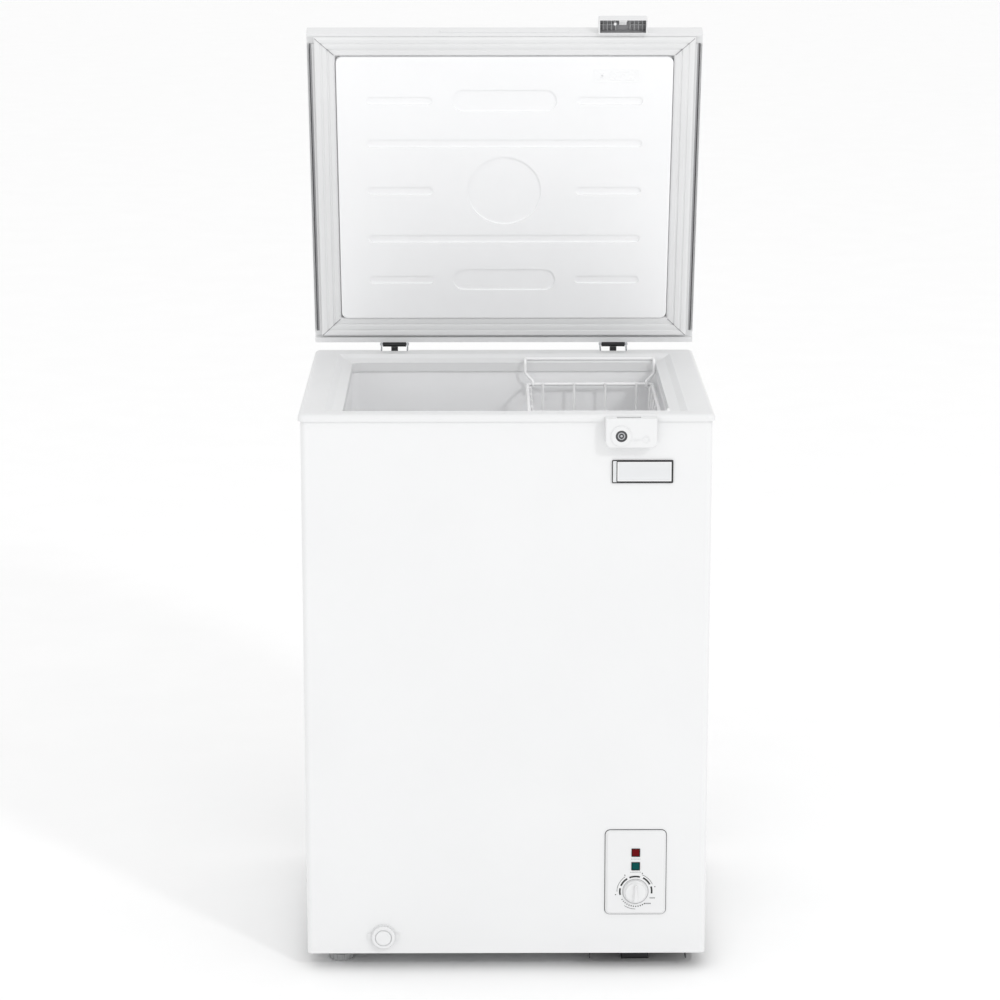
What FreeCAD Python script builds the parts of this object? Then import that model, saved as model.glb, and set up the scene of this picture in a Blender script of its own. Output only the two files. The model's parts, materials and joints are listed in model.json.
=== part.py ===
"""Single-lid chest freezer, as a parametric FreeCAD document. Millimetres, +X right, +Y back, +Z up.

Cabinet pieces are modelled about the cabinet's centre line and carried along Y by their Placement, so
that the origin lies on the floor under the centre of the whole object with its lid open.
Lid pieces are modelled closed, about the hinge axis, and opened by their Placement.
"""
import FreeCAD, Part
import math
import os

import Sketcher
from FreeCAD import Placement, Rotation, Vector

SIZES = {
    # cabinet
    "body_w": 545.0, "body_d": 475.0, "body_h": 744.0, "foot_h": 22.0, "sheet": 0.8, "corner_r": 8.0,
    # collar frame
    "nose_out": 3.25, "nose_h": 9.5, "rim_side": 35.25, "rim_front": 24.5, "rim_rear": 37.0,
    "bevel_in": 8.0, "bevel_down": 5.0, "ledge_in": 13.5, "ledge_down": 4.0, "skirt_drop": 22.0,
    # storage tank
    "recess": 2.0, "tub_wall": 1.5, "tub_floor": 77.0, "tub_corner": 14.0, "step_w": 165.0, "step_top": 282.0,
    # compressor bay
    "bay_in": 115.0, "bay_top": 237.0, "tray_t": 1.5,
    # lid
    "lid_open": 73.0, "lid_up": 4.0, "lid_depth": 44.0, "trim_d": 17.0, "trim_wall": 2.5,
    "lip_front": 5.0, "lip_rear": 8.0,
    "gasket_w": 29.5, "gasket_gap": 0.3, "pan_side": 235.5, "pan_front": 34.0, "pan_rear": 42.0,
    "pan_drop": 12.0, "pan_wall": 2.8, "groove": 1.8,
    # hinges
    "hinge_x": 160.0, "hinge_back": 4.5, "hinge_up": 7.0, "pin_r": 2.0, "run_gap": 0.05,
    "hinge_w": 40.0, "hinge_plate": 2.0, "hinge_len": 70.0, "leaf_w": 34.0,
    # lock
    "lock_x": 164.0, "lock_w": 68.0, "lock_h": 39.5, "lock_out": 20.0, "lock_wall": 2.5,
    "key_x": 151.0, "key_drop": 25.8, "key_r": 6.75, "hook_len": 31.0,
    # control panel
    "panel_in": 96.5, "panel_z": 139.0, "panel_w": 82.4, "panel_h": 120.0, "panel_t": 5.0,
    "knob_z": 112.7, "knob_r": 16.0, "knob_h": 13.0, "lamp_size": 10.2, "red_z": 168.3, "green_z": 148.8,
    # badge
    "badge_x": 180.2, "badge_z": 698.0, "badge_w": 81.0, "badge_h": 31.0, "badge_t": 1.6,
    # drain
    "drain_x": -168.0, "drain_z": 46.6, "drain_r": 16.0, "pipe_r": 9.0, "pipe_wall": 1.5, "drain_back": 60.0,
    "drop_more": 0.8, "sump": 12.5,
    # basket
    "basket_x": 123.25, "basket_w": 180.0, "basket_clear": 31.0, "basket_rim": 38.0, "basket_h": 200.0,
    "rim_wire": 2.5, "mesh_wire": 1.75, "bail_wire": 2.0,
    # feet
    "foot_in": 44.5, "foot_r": 16.5, "stud_r": 4.0, "block_w": 38.0, "block_d": 30.0,
    # compressor
    "comp_in": 82.0, "comp_y": 95.0, "comp_r": 58.0, "comp_h": 150.0, "comp_wall": 3.0,
    # tubes
    "coil_r": 4.0, "cond_r": 2.4, "line_r": 3.0,
}

doc = FreeCAD.newDocument("ChestFreezer")
sheet = doc.addObject("Spreadsheet::Sheet", "Sizes")
for row, (word, number) in enumerate(SIZES.items(), 1):
    sheet.set(f"A{row}", word)
    sheet.set(f"B{row}", str(number))
    sheet.setAlias(f"B{row}", word)
doc.recompute()


class Size:
    """A number with the spreadsheet formula that gives it, so plain arithmetic keeps both."""

    def __init__(self, value, formula=None):
        self.value = float(value)
        self.formula = formula or f"{float(value):.9g}"

    def joined(self, other, sign, value):
        return Size(value, f"({self.formula} {sign} {as_size(other).formula})")

    def __add__(self, other):
        return self.joined(other, "+", self.value + as_size(other).value)

    def __sub__(self, other):
        return self.joined(other, "-", self.value - as_size(other).value)

    def __mul__(self, other):
        return self.joined(other, "*", self.value * as_size(other).value)

    def __truediv__(self, other):
        return self.joined(other, "/", self.value / as_size(other).value)

    def __radd__(self, other):
        return as_size(other) + self

    def __rsub__(self, other):
        return as_size(other) - self

    def __rmul__(self, other):
        return as_size(other) * self

    def __neg__(self):
        return Size(-self.value, f"(-{self.formula})")

    def __float__(self):
        return self.value


def as_size(x):
    return x if isinstance(x, Size) else Size(x)


def trig(angle, name):
    return Size(getattr(math, name)(math.radians(float(angle))), f"{name}({as_size(angle).formula} * 1deg)")


class Named:
    """The spreadsheet's values as attributes."""


s = Named()
for word in SIZES:
    setattr(s, word, Size(sheet.get(word), f"Sizes.{word}"))

# levels and planes of the cabinet
body_top = s.foot_h + s.body_h
top = body_top + s.nose_h
shell_top = body_top + 2
face = -s.body_d / 2
back = s.body_d / 2
side = s.body_w / 2
rim_x = side + s.nose_out
rim_y = back + s.nose_out
open_x = rim_x - s.rim_side
open_front = -rim_y + s.rim_front
open_back = rim_y - s.rim_rear
slope = s.bevel_in + s.ledge_in
throat_x = open_x - slope
throat_front = open_front + slope
throat_back = open_back - slope
ledge_low = s.bevel_down + s.ledge_down
tub_x = throat_x + s.recess
tub_front = throat_front - s.recess
tub_back = throat_back + s.recess
tub_top = top - 12
bay_left = tub_x - s.bay_in
comp_x = bay_left + s.comp_in
panel_x = side - s.panel_in

# the hinge axis, and the place of the whole cabinet along Y
axis_y = rim_y + s.hinge_back
axis_z = top + s.hinge_up
lid_top = s.lid_depth + s.lid_up - s.hinge_up
lid_back_reach = axis_y + lid_top * trig(s.lid_open, "sin") - s.hinge_back * trig(s.lid_open, "cos")
shift_y = (s.body_d / 2 + s.lock_out - lid_back_reach) / 2


def bind(item, path, size):
    item.setExpression(path, as_size(size).formula)


def put(item, at):
    """Binds an item's place to the sheet."""
    item.Placement.Base = Vector(*[float(v) for v in at])
    for letter, size in zip("xyz", at):
        bind(item, f"Placement.Base.{letter}", size)
    return item


def block(name, low, high):
    """A box between two corners."""
    item = doc.addObject("Part::Box", name)
    for prop, a, b in zip(("Length", "Width", "Height"), low, high):
        bind(item, prop, as_size(b) - a)
    return put(item, low)


TURN = {"x": Rotation(Vector(0, 1, 0), 90), "y": Rotation(Vector(1, 0, 0), -90), "z": Rotation()}


def rod(name, radius, length, at, along="z"):
    """A cylinder from a point, along +X, +Y or +Z."""
    item = doc.addObject("Part::Cylinder", name)
    bind(item, "Radius", radius)
    bind(item, "Height", length)
    item.Placement = Placement(Vector(), TURN[along])
    return put(item, at)


def join(name, items):
    item = doc.addObject("Part::MultiFuse", name)
    item.Shapes = items
    return item


def cut(name, base, tools):
    item = doc.addObject("Part::Cut", name)
    item.Base = base
    item.Tool = tools[0] if len(tools) == 1 else join(name + "_tools", tools)
    return item


def frustum(name, low, high, inset):
    """A box whose bottom is smaller than its top by an inset on all four sides."""
    item = doc.addObject("Part::Wedge", name)
    width, depth, height = (as_size(b) - a for a, b in zip(low, high))
    # a wedge narrows along its own Y, which is turned to point up
    for prop, size in (("Xmin", inset), ("Xmax", width - inset), ("X2min", 0), ("X2max", width),
                       ("Zmin", inset), ("Zmax", depth - inset), ("Z2min", 0), ("Z2max", depth),
                       ("Ymin", 0), ("Ymax", height)):
        bind(item, prop, size)
    item.Placement = Placement(Vector(), Rotation(Vector(1, 0, 0), 90))
    return put(item, (low[0], high[1], low[2]))


nodes = []


def keep(item, name, on_lid=False):
    """Names a finished sub-part and binds its place in the whole object."""
    item.Label = name
    if on_lid:
        item.Placement = Placement(Vector(0, float(axis_y + shift_y), float(axis_z)),
                                   Rotation(Vector(-1, 0, 0), float(s.lid_open)))
        bind(item, "Placement.Base.y", axis_y + shift_y)
        bind(item, "Placement.Base.z", axis_z)
        bind(item, "Placement.Rotation.Angle", s.lid_open)
    else:
        item.Placement.Base = Vector(0, float(shift_y), 0)
        bind(item, "Placement.Base.y", shift_y)
    nodes.append(item)
    return item


def shaped(name, shape, on_lid=False):
    """A sub-part whose shape is worked out here, for pipes and wires."""
    item = doc.addObject("Part::Feature", name)
    item.Shape = shape
    return keep(item, name, on_lid)


# PartDesign helpers

PLANES = {"XY": lambda x, y, z: (x, y, z), "XZ": lambda x, y, z: (x, z, -as_size(y)),
          "YZ": lambda x, y, z: (y, z, x)}


class Piece:
    """One PartDesign body, with its sketches and features."""

    def __init__(self, name):
        self.name = name
        self.body = doc.addObject("PartDesign::Body", name + "_body")
        self.count = 0

    def sketch(self, plane, at):
        self.count += 1
        sketch = self.body.newObject("Sketcher::SketchObject", f"{self.name}_sketch{self.count}")
        origin = [f for f in self.body.Origin.OriginFeatures if f.Role == plane + "_Plane"][0]
        sketch.AttachmentSupport = [(origin, "")]
        sketch.MapMode = "FlatFace"
        local = PLANES[plane](*at)
        sketch.AttachmentOffset = Placement(Vector(*[float(v) for v in local]), Rotation())
        for letter, size in zip("xyz", local):
            bind(sketch, f"AttachmentOffset.Base.{letter}", size)
        return sketch

    def outline(self, sketch, points):
        """A closed polygon, each corner held by its distances from the sketch's origin."""
        corners = [(as_size(a), as_size(b)) for a, b in points]
        vectors = [Vector(float(a), float(b), 0) for a, b in corners]
        first = sketch.GeometryCount
        for i, here in enumerate(vectors):
            sketch.addGeometry(Part.LineSegment(here, vectors[(i + 1) % len(vectors)]), False)
        for i in range(len(vectors)):
            last = first + (i - 1) % len(vectors)
            sketch.addConstraint(self.link("Coincident", last, 2, first + i, 1))
        for i, corner in enumerate(corners):
            for kind, size, axis in (("DistanceX", corner[0], -2), ("DistanceY", corner[1], -1)):
                self.hold(sketch, kind, first + i, size, axis)
        return sketch

    @staticmethod
    def link(kind, *numbers):
        return Sketcher.Constraint(kind, *numbers)

    def hold(self, sketch, kind, line, size, axis, end=1):
        """Holds a point at a distance from the origin, on the side where it stands."""
        if abs(float(size)) < 1e-9:
            sketch.addConstraint(self.link("PointOnObject", line, end, axis))
            return
        if float(size) > 0:
            number = sketch.addConstraint(self.link(kind, -1, 1, line, end, float(size)))
        else:
            number = sketch.addConstraint(self.link(kind, line, end, -1, 1, -float(size)))
            size = -size
        bind(sketch, f"Constraints[{number}]", size)

    def rectangle(self, plane, low, width, height):
        sketch = self.sketch(plane, low)
        return self.outline(sketch, [(0, 0), (width, 0), (width, height), (0, height)])

    def circle(self, sketch, radius, at=(0, 0)):
        number = sketch.addGeometry(Part.Circle(Vector(float(at[0]), float(at[1]), 0), Vector(0, 0, 1),
                                                float(radius)), False)
        for kind, size, axis in (("DistanceX", as_size(at[0]), -2), ("DistanceY", as_size(at[1]), -1)):
            self.hold(sketch, kind, number, size, axis, 3)
        constraint = sketch.addConstraint(self.link("Radius", number, float(radius)))
        bind(sketch, f"Constraints[{constraint}]", radius)
        return sketch

    def feature(self, kind, sketch, length, reverse=False):
        self.count += 1
        item = self.body.newObject("PartDesign::" + kind, f"{self.name}_{kind.lower()}{self.count}")
        item.Profile = sketch
        bind(item, "Length", length)
        item.Reversed = reverse
        doc.recompute()
        return item

    def pad(self, sketch, length, reverse=False):
        return self.feature("Pad", sketch, length, reverse)

    def pocket(self, sketch, length, reverse=False):
        before = self.body.Shape.Volume
        item = self.feature("Pocket", sketch, length, reverse)
        if not self.body.Shape.Volume < before - 1e-6:
            raise RuntimeError(f"{self.name}: {item.Name} cuts nothing")
        return item

    def revolve(self, sketch, kind="Revolution"):
        """A full turn of a profile about its sketch's vertical axis."""
        self.count += 1
        item = self.body.newObject("PartDesign::" + kind, f"{self.name}_{kind.lower()}{self.count}")
        item.Profile = sketch
        item.ReferenceAxis = (sketch, ["V_Axis"])
        item.Angle = 360
        doc.recompute()
        return item

    def dress(self, kind, size, chosen):
        """Rounds or bevels the edges that a test picks by their middle and direction."""
        base = self.body.Tip
        names = [f"Edge{i}" for i, edge in enumerate(base.Shape.Edges, 1)
                 if chosen(middle(edge), direction(edge))]
        if not names:
            raise RuntimeError(f"{self.name}: no edge to {kind}")
        self.count += 1
        item = self.body.newObject("PartDesign::" + kind, f"{self.name}_{kind.lower()}{self.count}")
        item.Base = (base, names)
        bind(item, "Radius" if kind == "Fillet" else "Size", size)
        doc.recompute()
        if "Invalid" in item.State:
            raise RuntimeError(f"{item.Name}: {item.getStatusString()}")
        return item

    def repeat(self, feature, plane, axis, pitch, count):
        """Repeats a feature along one of its sketch's axes."""
        self.count += 1
        item = self.body.newObject("PartDesign::LinearPattern", f"{self.name}_pattern{self.count}")
        item.Originals = [feature]
        item.Direction = (feature.Profile[0], [axis])
        bind(item, "Length", as_size(pitch) * (count - 1))
        item.Occurrences = count
        self.body.Tip = item
        doc.recompute()
        return item

    def done(self, name=None, on_lid=False):
        return keep(self.body, name or self.name, on_lid)


def middle(edge):
    return edge.valueAt((edge.FirstParameter + edge.LastParameter) / 2)


def direction(edge):
    """The letter of the axis that a straight edge follows, or nothing."""
    if edge.Curve.TypeId != "Part::GeomLine":
        return ""
    along = edge.tangentAt(edge.FirstParameter)
    return "xyz"[max(range(3), key=lambda i: abs(along[i]))] if max(abs(v) for v in along) > 0.999 else ""


def near(a, b, slack=0.2):
    return abs(float(a) - float(b)) < slack


# paths of pipes and wires

def bent(points, radius):
    """A wire of straight runs joined by tangent arcs."""
    corners = [Vector(*[float(v) for v in point]) for point in points]
    edges, start = [], corners[0]
    for before, corner, after in zip(corners, corners[1:], corners[2:]):
        back_dir = (before - corner).normalize()
        on_dir = (after - corner).normalize()
        half = back_dir.getAngle(on_dir) / 2
        reach = float(radius) / math.tan(half)
        enter, leave = corner + back_dir * reach, corner + on_dir * reach
        inward = (back_dir + on_dir).normalize()
        crown = corner + inward * (float(radius) / math.sin(half) - float(radius))
        edges.append(Part.LineSegment(start, enter).toShape())
        edges.append(Part.Arc(enter, crown, leave).toShape())
        start = leave
    edges.append(Part.LineSegment(start, corners[-1]).toShape())
    return Part.Wire(edges)


def pipe(path, radius, bore=0):
    """A round pipe along a path."""
    start = path.Edges[0]
    point, along = start.valueAt(start.FirstParameter), start.tangentAt(start.FirstParameter)
    solids = []
    for size in (radius, bore):
        if float(size) > 0:
            ring = Part.Wire([Part.Circle(point, along, float(size)).toShape()])
            solids.append(path.makePipeShell([ring], True, False))
    return solids[0] if len(solids) == 1 else solids[0].cut(solids[1])


def ring_wire(low_x, low_y, high_x, high_y, z, corner, radius):
    """A closed rectangular wire with round corners, lying flat."""
    middle_x = (float(low_x) + float(high_x)) / 2
    runs = bent([(middle_x, low_y, z), (high_x, low_y, z), (high_x, high_y, z), (low_x, high_y, z),
                 (low_x, low_y, z), (middle_x, low_y, z)], corner)
    return pipe(runs, radius)


# cabinet shell and panels

def outer_shell():
    p = Piece("outer_shell")
    p.pad(p.rectangle("XY", (-side, face, s.foot_h), s.body_w, s.body_d), shell_top - s.foot_h)
    p.pocket(p.rectangle("XY", (-side + s.sheet, face + s.sheet, s.foot_h), s.body_w - 2 * s.sheet, s.body_d),
             shell_top - s.foot_h, True)
    p.dress("Fillet", s.corner_r - s.sheet,
            lambda m, d: d == "z" and near(m.y, face + s.sheet) and near(abs(m.x), side - s.sheet))
    p.dress("Fillet", s.corner_r, lambda m, d: d == "z" and near(m.y, face))
    # openings for the control panel's box, the drain and the lock's screws
    opening = p.rectangle("XZ", (panel_x - 22, face - 1, s.knob_z - 24), 44, s.red_z - s.knob_z + 34)
    p.pocket(opening, 3)
    hole = p.circle(p.sketch("XZ", (s.drain_x, face - 1, s.drain_z)), s.pipe_r + 0.3)
    p.pocket(hole, 3)
    # vent slots beside the compressor
    slot = p.pocket(p.rectangle("YZ", (side - 2, 20, s.foot_h + 40), 130, 4), 4, True)
    p.repeat(slot, "YZ", "V_Axis", 12, 10)
    p.done()


def flat_panels():
    bay_low = s.foot_h
    rear = block("rear_sheet", (-side + s.sheet, back - s.sheet, s.foot_h), (side - s.sheet, back, shell_top))
    gap = block("rear_gap", (bay_left + 4, back - 2, bay_low - 1), (side - 4, back + 1, s.bay_top - 6))
    holes = [rod(f"rear_hole_{i}", 2.1, 4, (x, back - 2, top - z), "y")
             for i, (x, z) in enumerate(body_screws())]
    keep(cut("rear_panel_cut", rear, [gap] + holes), "rear_panel")
    base = block("base_sheet", (-side + s.sheet, face + s.sheet + 0.1, s.foot_h),
                 (bay_left - s.sheet, back - s.sheet, s.foot_h + s.sheet))
    corner = block("base_corner", (-side, face, s.foot_h - 1),
                   (-side + s.corner_r, face + s.corner_r, s.foot_h + 2))
    studs = [rod(f"base_hole_{i}", s.stud_r + 0.3, 4, (x, y, s.foot_h - 1))
             for i, (x, y) in enumerate(left_feet())]
    keep(cut("base_panel_cut", base, [corner] + studs), "base_panel")
    p = Piece("bay_panel")
    inner = bay_left - s.sheet
    reach = side - s.sheet - inner
    p.pad(p.outline(p.sketch("XZ", (inner, back - s.sheet, s.foot_h)),
                    [(0, 0), (s.sheet, 0), (s.sheet, s.bay_top - s.foot_h), (reach, s.bay_top - s.foot_h),
                     (reach, s.bay_top - s.foot_h + s.sheet), (0, s.bay_top - s.foot_h + s.sheet)]),
          s.body_d - 2 * s.sheet - 8)
    p.done()


def bay_cover():
    p = Piece("bay_cover")
    low_x, wide = bay_left + 6, side - bay_left - 12
    p.pad(p.rectangle("XZ", (low_x, back + 1.3, s.foot_h + 4), wide, s.bay_top - s.foot_h - 4), 1.2)
    for column in (0, 1):
        slot = p.pocket(p.rectangle("XZ", (low_x + 14 + column * (wide / 2 - 4), back + 3, s.foot_h + 60),
                                    wide / 2 - 24, 4), 4, True)
        p.repeat(slot, "XZ", "V_Axis", 11, 13)
    p.pocket(p.circle(p.sketch("XZ", (bay_left + 22, back + 3, s.foot_h + 30)), 4), 4, True)
    p.done()


def feet_x():
    return side - s.foot_in


def left_feet():
    return [(-feet_x(), face + s.foot_in), (-feet_x(), back - s.foot_in)]


def rounded_block(name, low, high, radius):
    """A box with rounded upright edges."""
    p = Piece(name)
    p.pad(p.rectangle("XY", low, as_size(high[0]) - low[0], as_size(high[1]) - low[1]),
          as_size(high[2]) - low[2])
    p.dress("Fillet", radius, lambda m, d: d == "z")
    return p.body


# collar frame

def collar_frame():
    bottom = shell_top + 0.2
    p = Piece("collar_slab")
    p.pad(p.rectangle("XY", (-rim_x, -rim_y, bottom), 2 * rim_x, 2 * rim_y), top - bottom)
    lip = p.rectangle("XY", (-rim_x, -rim_y, body_top), 2 * rim_x, 2 * rim_y)
    p.pad(lip, bottom - body_top)
    p.dress("Fillet", 9, lambda m, d: d == "z")
    p.pocket(p.rectangle("XY", (-side - 0.15, face - 0.15, body_top), s.body_w + 0.3, s.body_d + 0.3),
             bottom - body_top, True)
    p.dress("Fillet", 5.5, lambda m, d: near(m.z, top) and (near(abs(m.x), rim_x, 3)
                                                            or near(abs(m.y), rim_y, 3)))
    slab = p.body
    under = block("collar_under", (-throat_x - 17, throat_front - 17, top - ledge_low - 2.5),
                  (throat_x + 17, throat_back + 17, bottom))
    skirt = rounded_block("collar_skirt", (-tub_x, tub_front, top - s.skirt_drop),
                          (tub_x, tub_back, top - ledge_low - 2.5), s.tub_corner + 0.4)
    solid = join("collar_solid", [slab, under, skirt])
    bevel = frustum("collar_bevel", (-open_x, open_front, top - s.bevel_down), (open_x, open_back, top),
                    s.bevel_in)
    ledge = frustum("collar_ledge", (-open_x + s.bevel_in, open_front + s.bevel_in, top - ledge_low),
                    (open_x - s.bevel_in, open_back - s.bevel_in, top - s.bevel_down), s.ledge_in)
    throat = rounded_block("collar_throat", (-throat_x, throat_front, top - s.skirt_drop - 1),
                           (throat_x, throat_back, top - ledge_low + 0.5), s.tub_corner - s.recess)
    half = s.hinge_w / 2 + 1.5
    notches = []
    for sign in (-1, 1):
        x = sign * s.hinge_x
        notches.append(block(f"collar_notch_{sign}", (x - half, rim_y - 13, top - 6),
                             (x + half, rim_y + 1, top + 1)))
        notches.append(block(f"collar_clear_{sign}", (x - half, back - 0.2, body_top - 1),
                             (x + half, rim_y + 1, top + 1)))
    keep(cut("collar_cut", solid, [bevel, ledge, throat] + notches), "collar_frame")


# storage tank

def tank_outline(p, grow, y_front):
    """The tank's front outline, with its step, grown outwards by a wall."""
    low = s.tub_floor - grow
    wide = 2 * (tub_x + grow)
    step_x = 2 * tub_x + grow - s.step_w
    return p.outline(p.sketch("XZ", (-tub_x - grow, y_front, low)),
                     [(0, 0), (step_x, 0), (step_x, s.step_top - low), (wide, s.step_top - low),
                      (wide, tub_top - low), (0, tub_top - low)])


def inner_liner():
    p = Piece("inner_liner")
    wall = s.tub_wall
    # the outline is drawn at the back and padded towards the front
    p.pad(tank_outline(p, wall, tub_back + wall), tub_back - tub_front + 2 * wall)
    p.pocket(tank_outline_inner(p), tub_back - tub_front)
    p.dress("Fillet", s.tub_corner, lambda m, d: d == "z" and near(abs(m.x), tub_x))
    p.dress("Fillet", s.tub_corner + wall, lambda m, d: d == "z" and near(abs(m.x), tub_x + wall))
    p.pocket(p.circle(p.sketch("XY", (s.drain_x, drain_y(), s.tub_floor + 1)), s.pipe_r), 4)
    p.done()


def tank_outline_inner(p):
    wide = 2 * tub_x
    wall_x = wide - s.step_w - s.tub_wall
    return p.outline(p.sketch("XZ", (-tub_x, tub_front, s.tub_floor)),
                     [(0, 0), (wall_x, 0), (wall_x, s.step_top - s.tub_floor + s.tub_wall),
                      (wide, s.step_top - s.tub_floor + s.tub_wall), (wide, tub_top - s.tub_floor),
                      (0, tub_top - s.tub_floor)])


def drain_y():
    return face + s.drain_back


def body_foam():
    inside = side - s.sheet - 0.1
    p = Piece("foam_block")
    p.pad(p.rectangle("XY", (-inside, face + s.sheet + 0.1, s.foot_h + s.sheet), 2 * inside,
                      s.body_d - 2 * s.sheet - 0.1), shell_top - s.foot_h - s.sheet)
    p.dress("Fillet", s.corner_r + 0.6, lambda m, d: d == "z" and near(m.y, face + s.sheet + 0.1))
    wall = s.tub_wall
    tank = block("foam_tank", (-tub_x - wall, tub_front - wall, s.step_top - 0.01),
                 (tub_x + wall, tub_back + wall, shell_top + 1))
    deep = block("foam_deep", (-tub_x - wall, tub_front - wall, s.tub_floor - wall),
                 (tub_x - s.step_w, tub_back + wall, s.step_top + 1))
    bay = block("foam_bay", (bay_left - s.sheet, face, s.foot_h), (side, back, s.bay_top + s.sheet))
    ledge = block("foam_ledge", (-throat_x - 17, throat_front - 17, top - ledge_low - 2.5),
                  (throat_x + 17, throat_back + 17, shell_top + 1))
    pipe_hole = rod("foam_pipe", s.pipe_r + s.pipe_wall, s.drain_back + s.pipe_r + 6,
                    (s.drain_x, face, s.drain_z), "y")
    drop = rod("foam_drop", s.pipe_r + s.pipe_wall + s.drop_more, s.tub_floor - s.drain_z + s.sump,
               (s.drain_x, drain_y(), s.drain_z - s.sump))
    cups = [rod(f"foam_cup_{i}", s.stud_r + 0.3, 30, (x, y, s.foot_h))
            for i, (x, y) in enumerate(left_feet())]
    keep(cut("foam_cut", p.body, [tank, deep, bay, ledge, pipe_hole, drop] + cups), "body_foam")


# cooling circuit

def tubes():
    gap = float(s.tub_wall + s.coil_r) + 0.5
    low_x, high_x = -float(tub_x) - gap, float(tub_x) + gap
    low_y, high_y = float(tub_front) - gap, float(tub_back) + gap
    points, turns, pitch = [(0, high_y, float(s.step_top) + 40)], 6, 62.0
    for turn in range(turns):
        z = points[0][2] + turn * pitch
        points += [(low_x, high_y, z), (low_x, low_y, z), (high_x, low_y, z), (high_x, high_y, z),
                   (20, high_y, z), (-20, high_y, z + pitch)]
    points = points[:-1]
    shaped("evaporator_coil", pipe(bent(points, 14), s.coil_r))
    edge = float(s.cond_r) + 1.2
    x, y_front, y_back = float(side - s.sheet) - edge, float(face + s.sheet) + edge, float(back) - 40
    route, z = [(x, y_back, 300.0)], 300.0
    for level in range(5):
        ends = (x, -x) if level % 2 == 0 else (-x, x)
        route += [(ends[0], y_front, z), (ends[1], y_front, z), (ends[1], y_back, z)]
        z += 80
        if level < 4:
            route.append((ends[1], y_back, z))
    shaped("condenser_coil", pipe(bent(route, 22), s.cond_r))


def compressor():
    x, y, floor = comp_x, s.comp_y, s.foot_h + s.tray_t
    stand = floor + 14
    p = Piece("compressor_shell")
    r, wall, tall = s.comp_r, s.comp_wall, s.comp_h
    half = p.outline(p.sketch("XZ", (x, y, stand)),
                     [(0, 0), (r * 0.8, 0), (r, 18), (r, tall - 30), (r * 0.72, tall - 6), (0, tall),
                      (0, tall - wall), (r * 0.7, tall - 6 - wall), (r - wall, tall - 31), (r - wall, 19),
                      (r * 0.8 - wall, wall), (0, wall)])
    p.revolve(half)
    p.dress("Fillet", 6, lambda m, d: near(m.z, stand + tall - 30, 1) and
            near(math.hypot(m.x - float(x), m.y - float(y)), float(r), 0.5))
    can = p.body
    plate = block("comp_plate", (x - 60, y - 50, stand - 3), (x + 60, y + 50, stand))
    grommet_holes = [rod(f"comp_hole_{i}", 6.1, 6, (x + a * 48, y + b * 40, stand - 4))
                     for i, (a, b) in enumerate(corners4())]
    keep(cut("comp_cut", join("comp_join", [can, plate]), grommet_holes), "compressor_shell")
    motor = rod("motor_stator", r - 16, 66, (x, y, stand + 12))
    pump = block("motor_pump", (x - 22, y - 30, stand + 77), (x + 22, y + 26, stand + tall - 40))
    head = rod("motor_head", 15, 16, (x, y + 20, stand + 92), "y")
    keep(join("motor_join", [motor, pump, head]), "compressor_motor")
    mounts = [rod(f"mount_{i}", 6, 12, (x + a * 48, y + b * 40, floor + 5))
              for i, (a, b) in enumerate(corners4())]
    pads = [rod(f"mount_pad_{i}", 9, 11, (x + a * 48, y + b * 40, floor))
            for i, (a, b) in enumerate(corners4())]
    caps = [rod(f"mount_cap_{i}", 8, 3, (x + a * 48, y + b * 40, floor + 17 - 2.9))
            for i, (a, b) in enumerate(corners4())]
    keep(join("mounts_join", mounts + pads + caps), "compressor_mounts")
    box = block("relay", (x - 24, y - r - 30, stand + 40), (x + 24, y - r + 2, stand + 96))
    keep(cut("relay_cut", box, [rod("relay_clear", r + 0.3, 200, (x, y, stand - 20))]), "relay_box")
    drier = join("drier_join", [rod("drier_tube", 8, 80, (x - 66, y - 160, s.foot_h + 120)),
                                rod("drier_in", s.line_r, 14, (x - 66, y - 160, s.foot_h + 107)),
                                rod("drier_out", 1.5, 16, (x - 66, y - 160, s.foot_h + 195))])
    keep(drier, "filter_drier")
    cx, cy, zl = float(x), float(y), float(stand)
    rear = cy + float(r) - 1
    shaped("suction_line", pipe(bent([(cx - 20, rear - 4, zl + 60), (cx - 20, rear + 26, zl + 60),
                                      (cx - 20, rear + 26, zl + 150), (cx - 60, rear + 26, zl + 150),
                                      (cx - 60, rear - 60, zl + 150), (cx - 60, rear - 60,
                                                                       float(s.bay_top) - 0.3)],
                                     9), s.line_r))
    shaped("discharge_line", pipe(bent([(cx + 22, rear - 10, zl + 40), (cx + 22, rear + 20, zl + 40),
                                        (cx + 56, rear + 20, zl + 40), (cx + 56, rear + 20, zl + 140),
                                        (cx + 56, rear - 70, zl + 140), (cx + 56, rear - 70,
                                                                         float(s.bay_top) - 0.3)],
                                       8), 2.4))


def corners4():
    return [(-1, -1), (1, -1), (1, 1), (-1, 1)]


def compressor_tray():
    p = Piece("tray_sheet")
    low_x, wide = bay_left + 8, side - bay_left - 34
    drop = 9.0
    p.pad(p.outline(p.sketch("XZ", (low_x, back - 3, s.foot_h - drop)),
                    [(0, 0), (s.tray_t, 0), (s.tray_t, drop), (wide - s.tray_t, drop), (wide - s.tray_t, 0),
                     (wide, 0), (wide, drop + s.tray_t), (0, drop + s.tray_t)]), s.body_d - 6)
    holes = [rod(f"tray_hole_{i}", 3.2, 8, (x, y, s.foot_h - 2)) for i, (x, y) in enumerate(tray_points())]
    keep(cut("tray_cut", p.body, holes), "compressor_tray")
    bolts = []
    for i, (x, y) in enumerate(tray_points()):
        bolts.append(rod(f"tray_head_{i}", 5.5, 3.5, (x, y, s.foot_h - 3.5)))
        bolts.append(rod(f"tray_shank_{i}", 3, 9, (x, y, s.foot_h - 1)))
    keep(join("tray_bolts_join", bolts), "tray_bolts")


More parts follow.
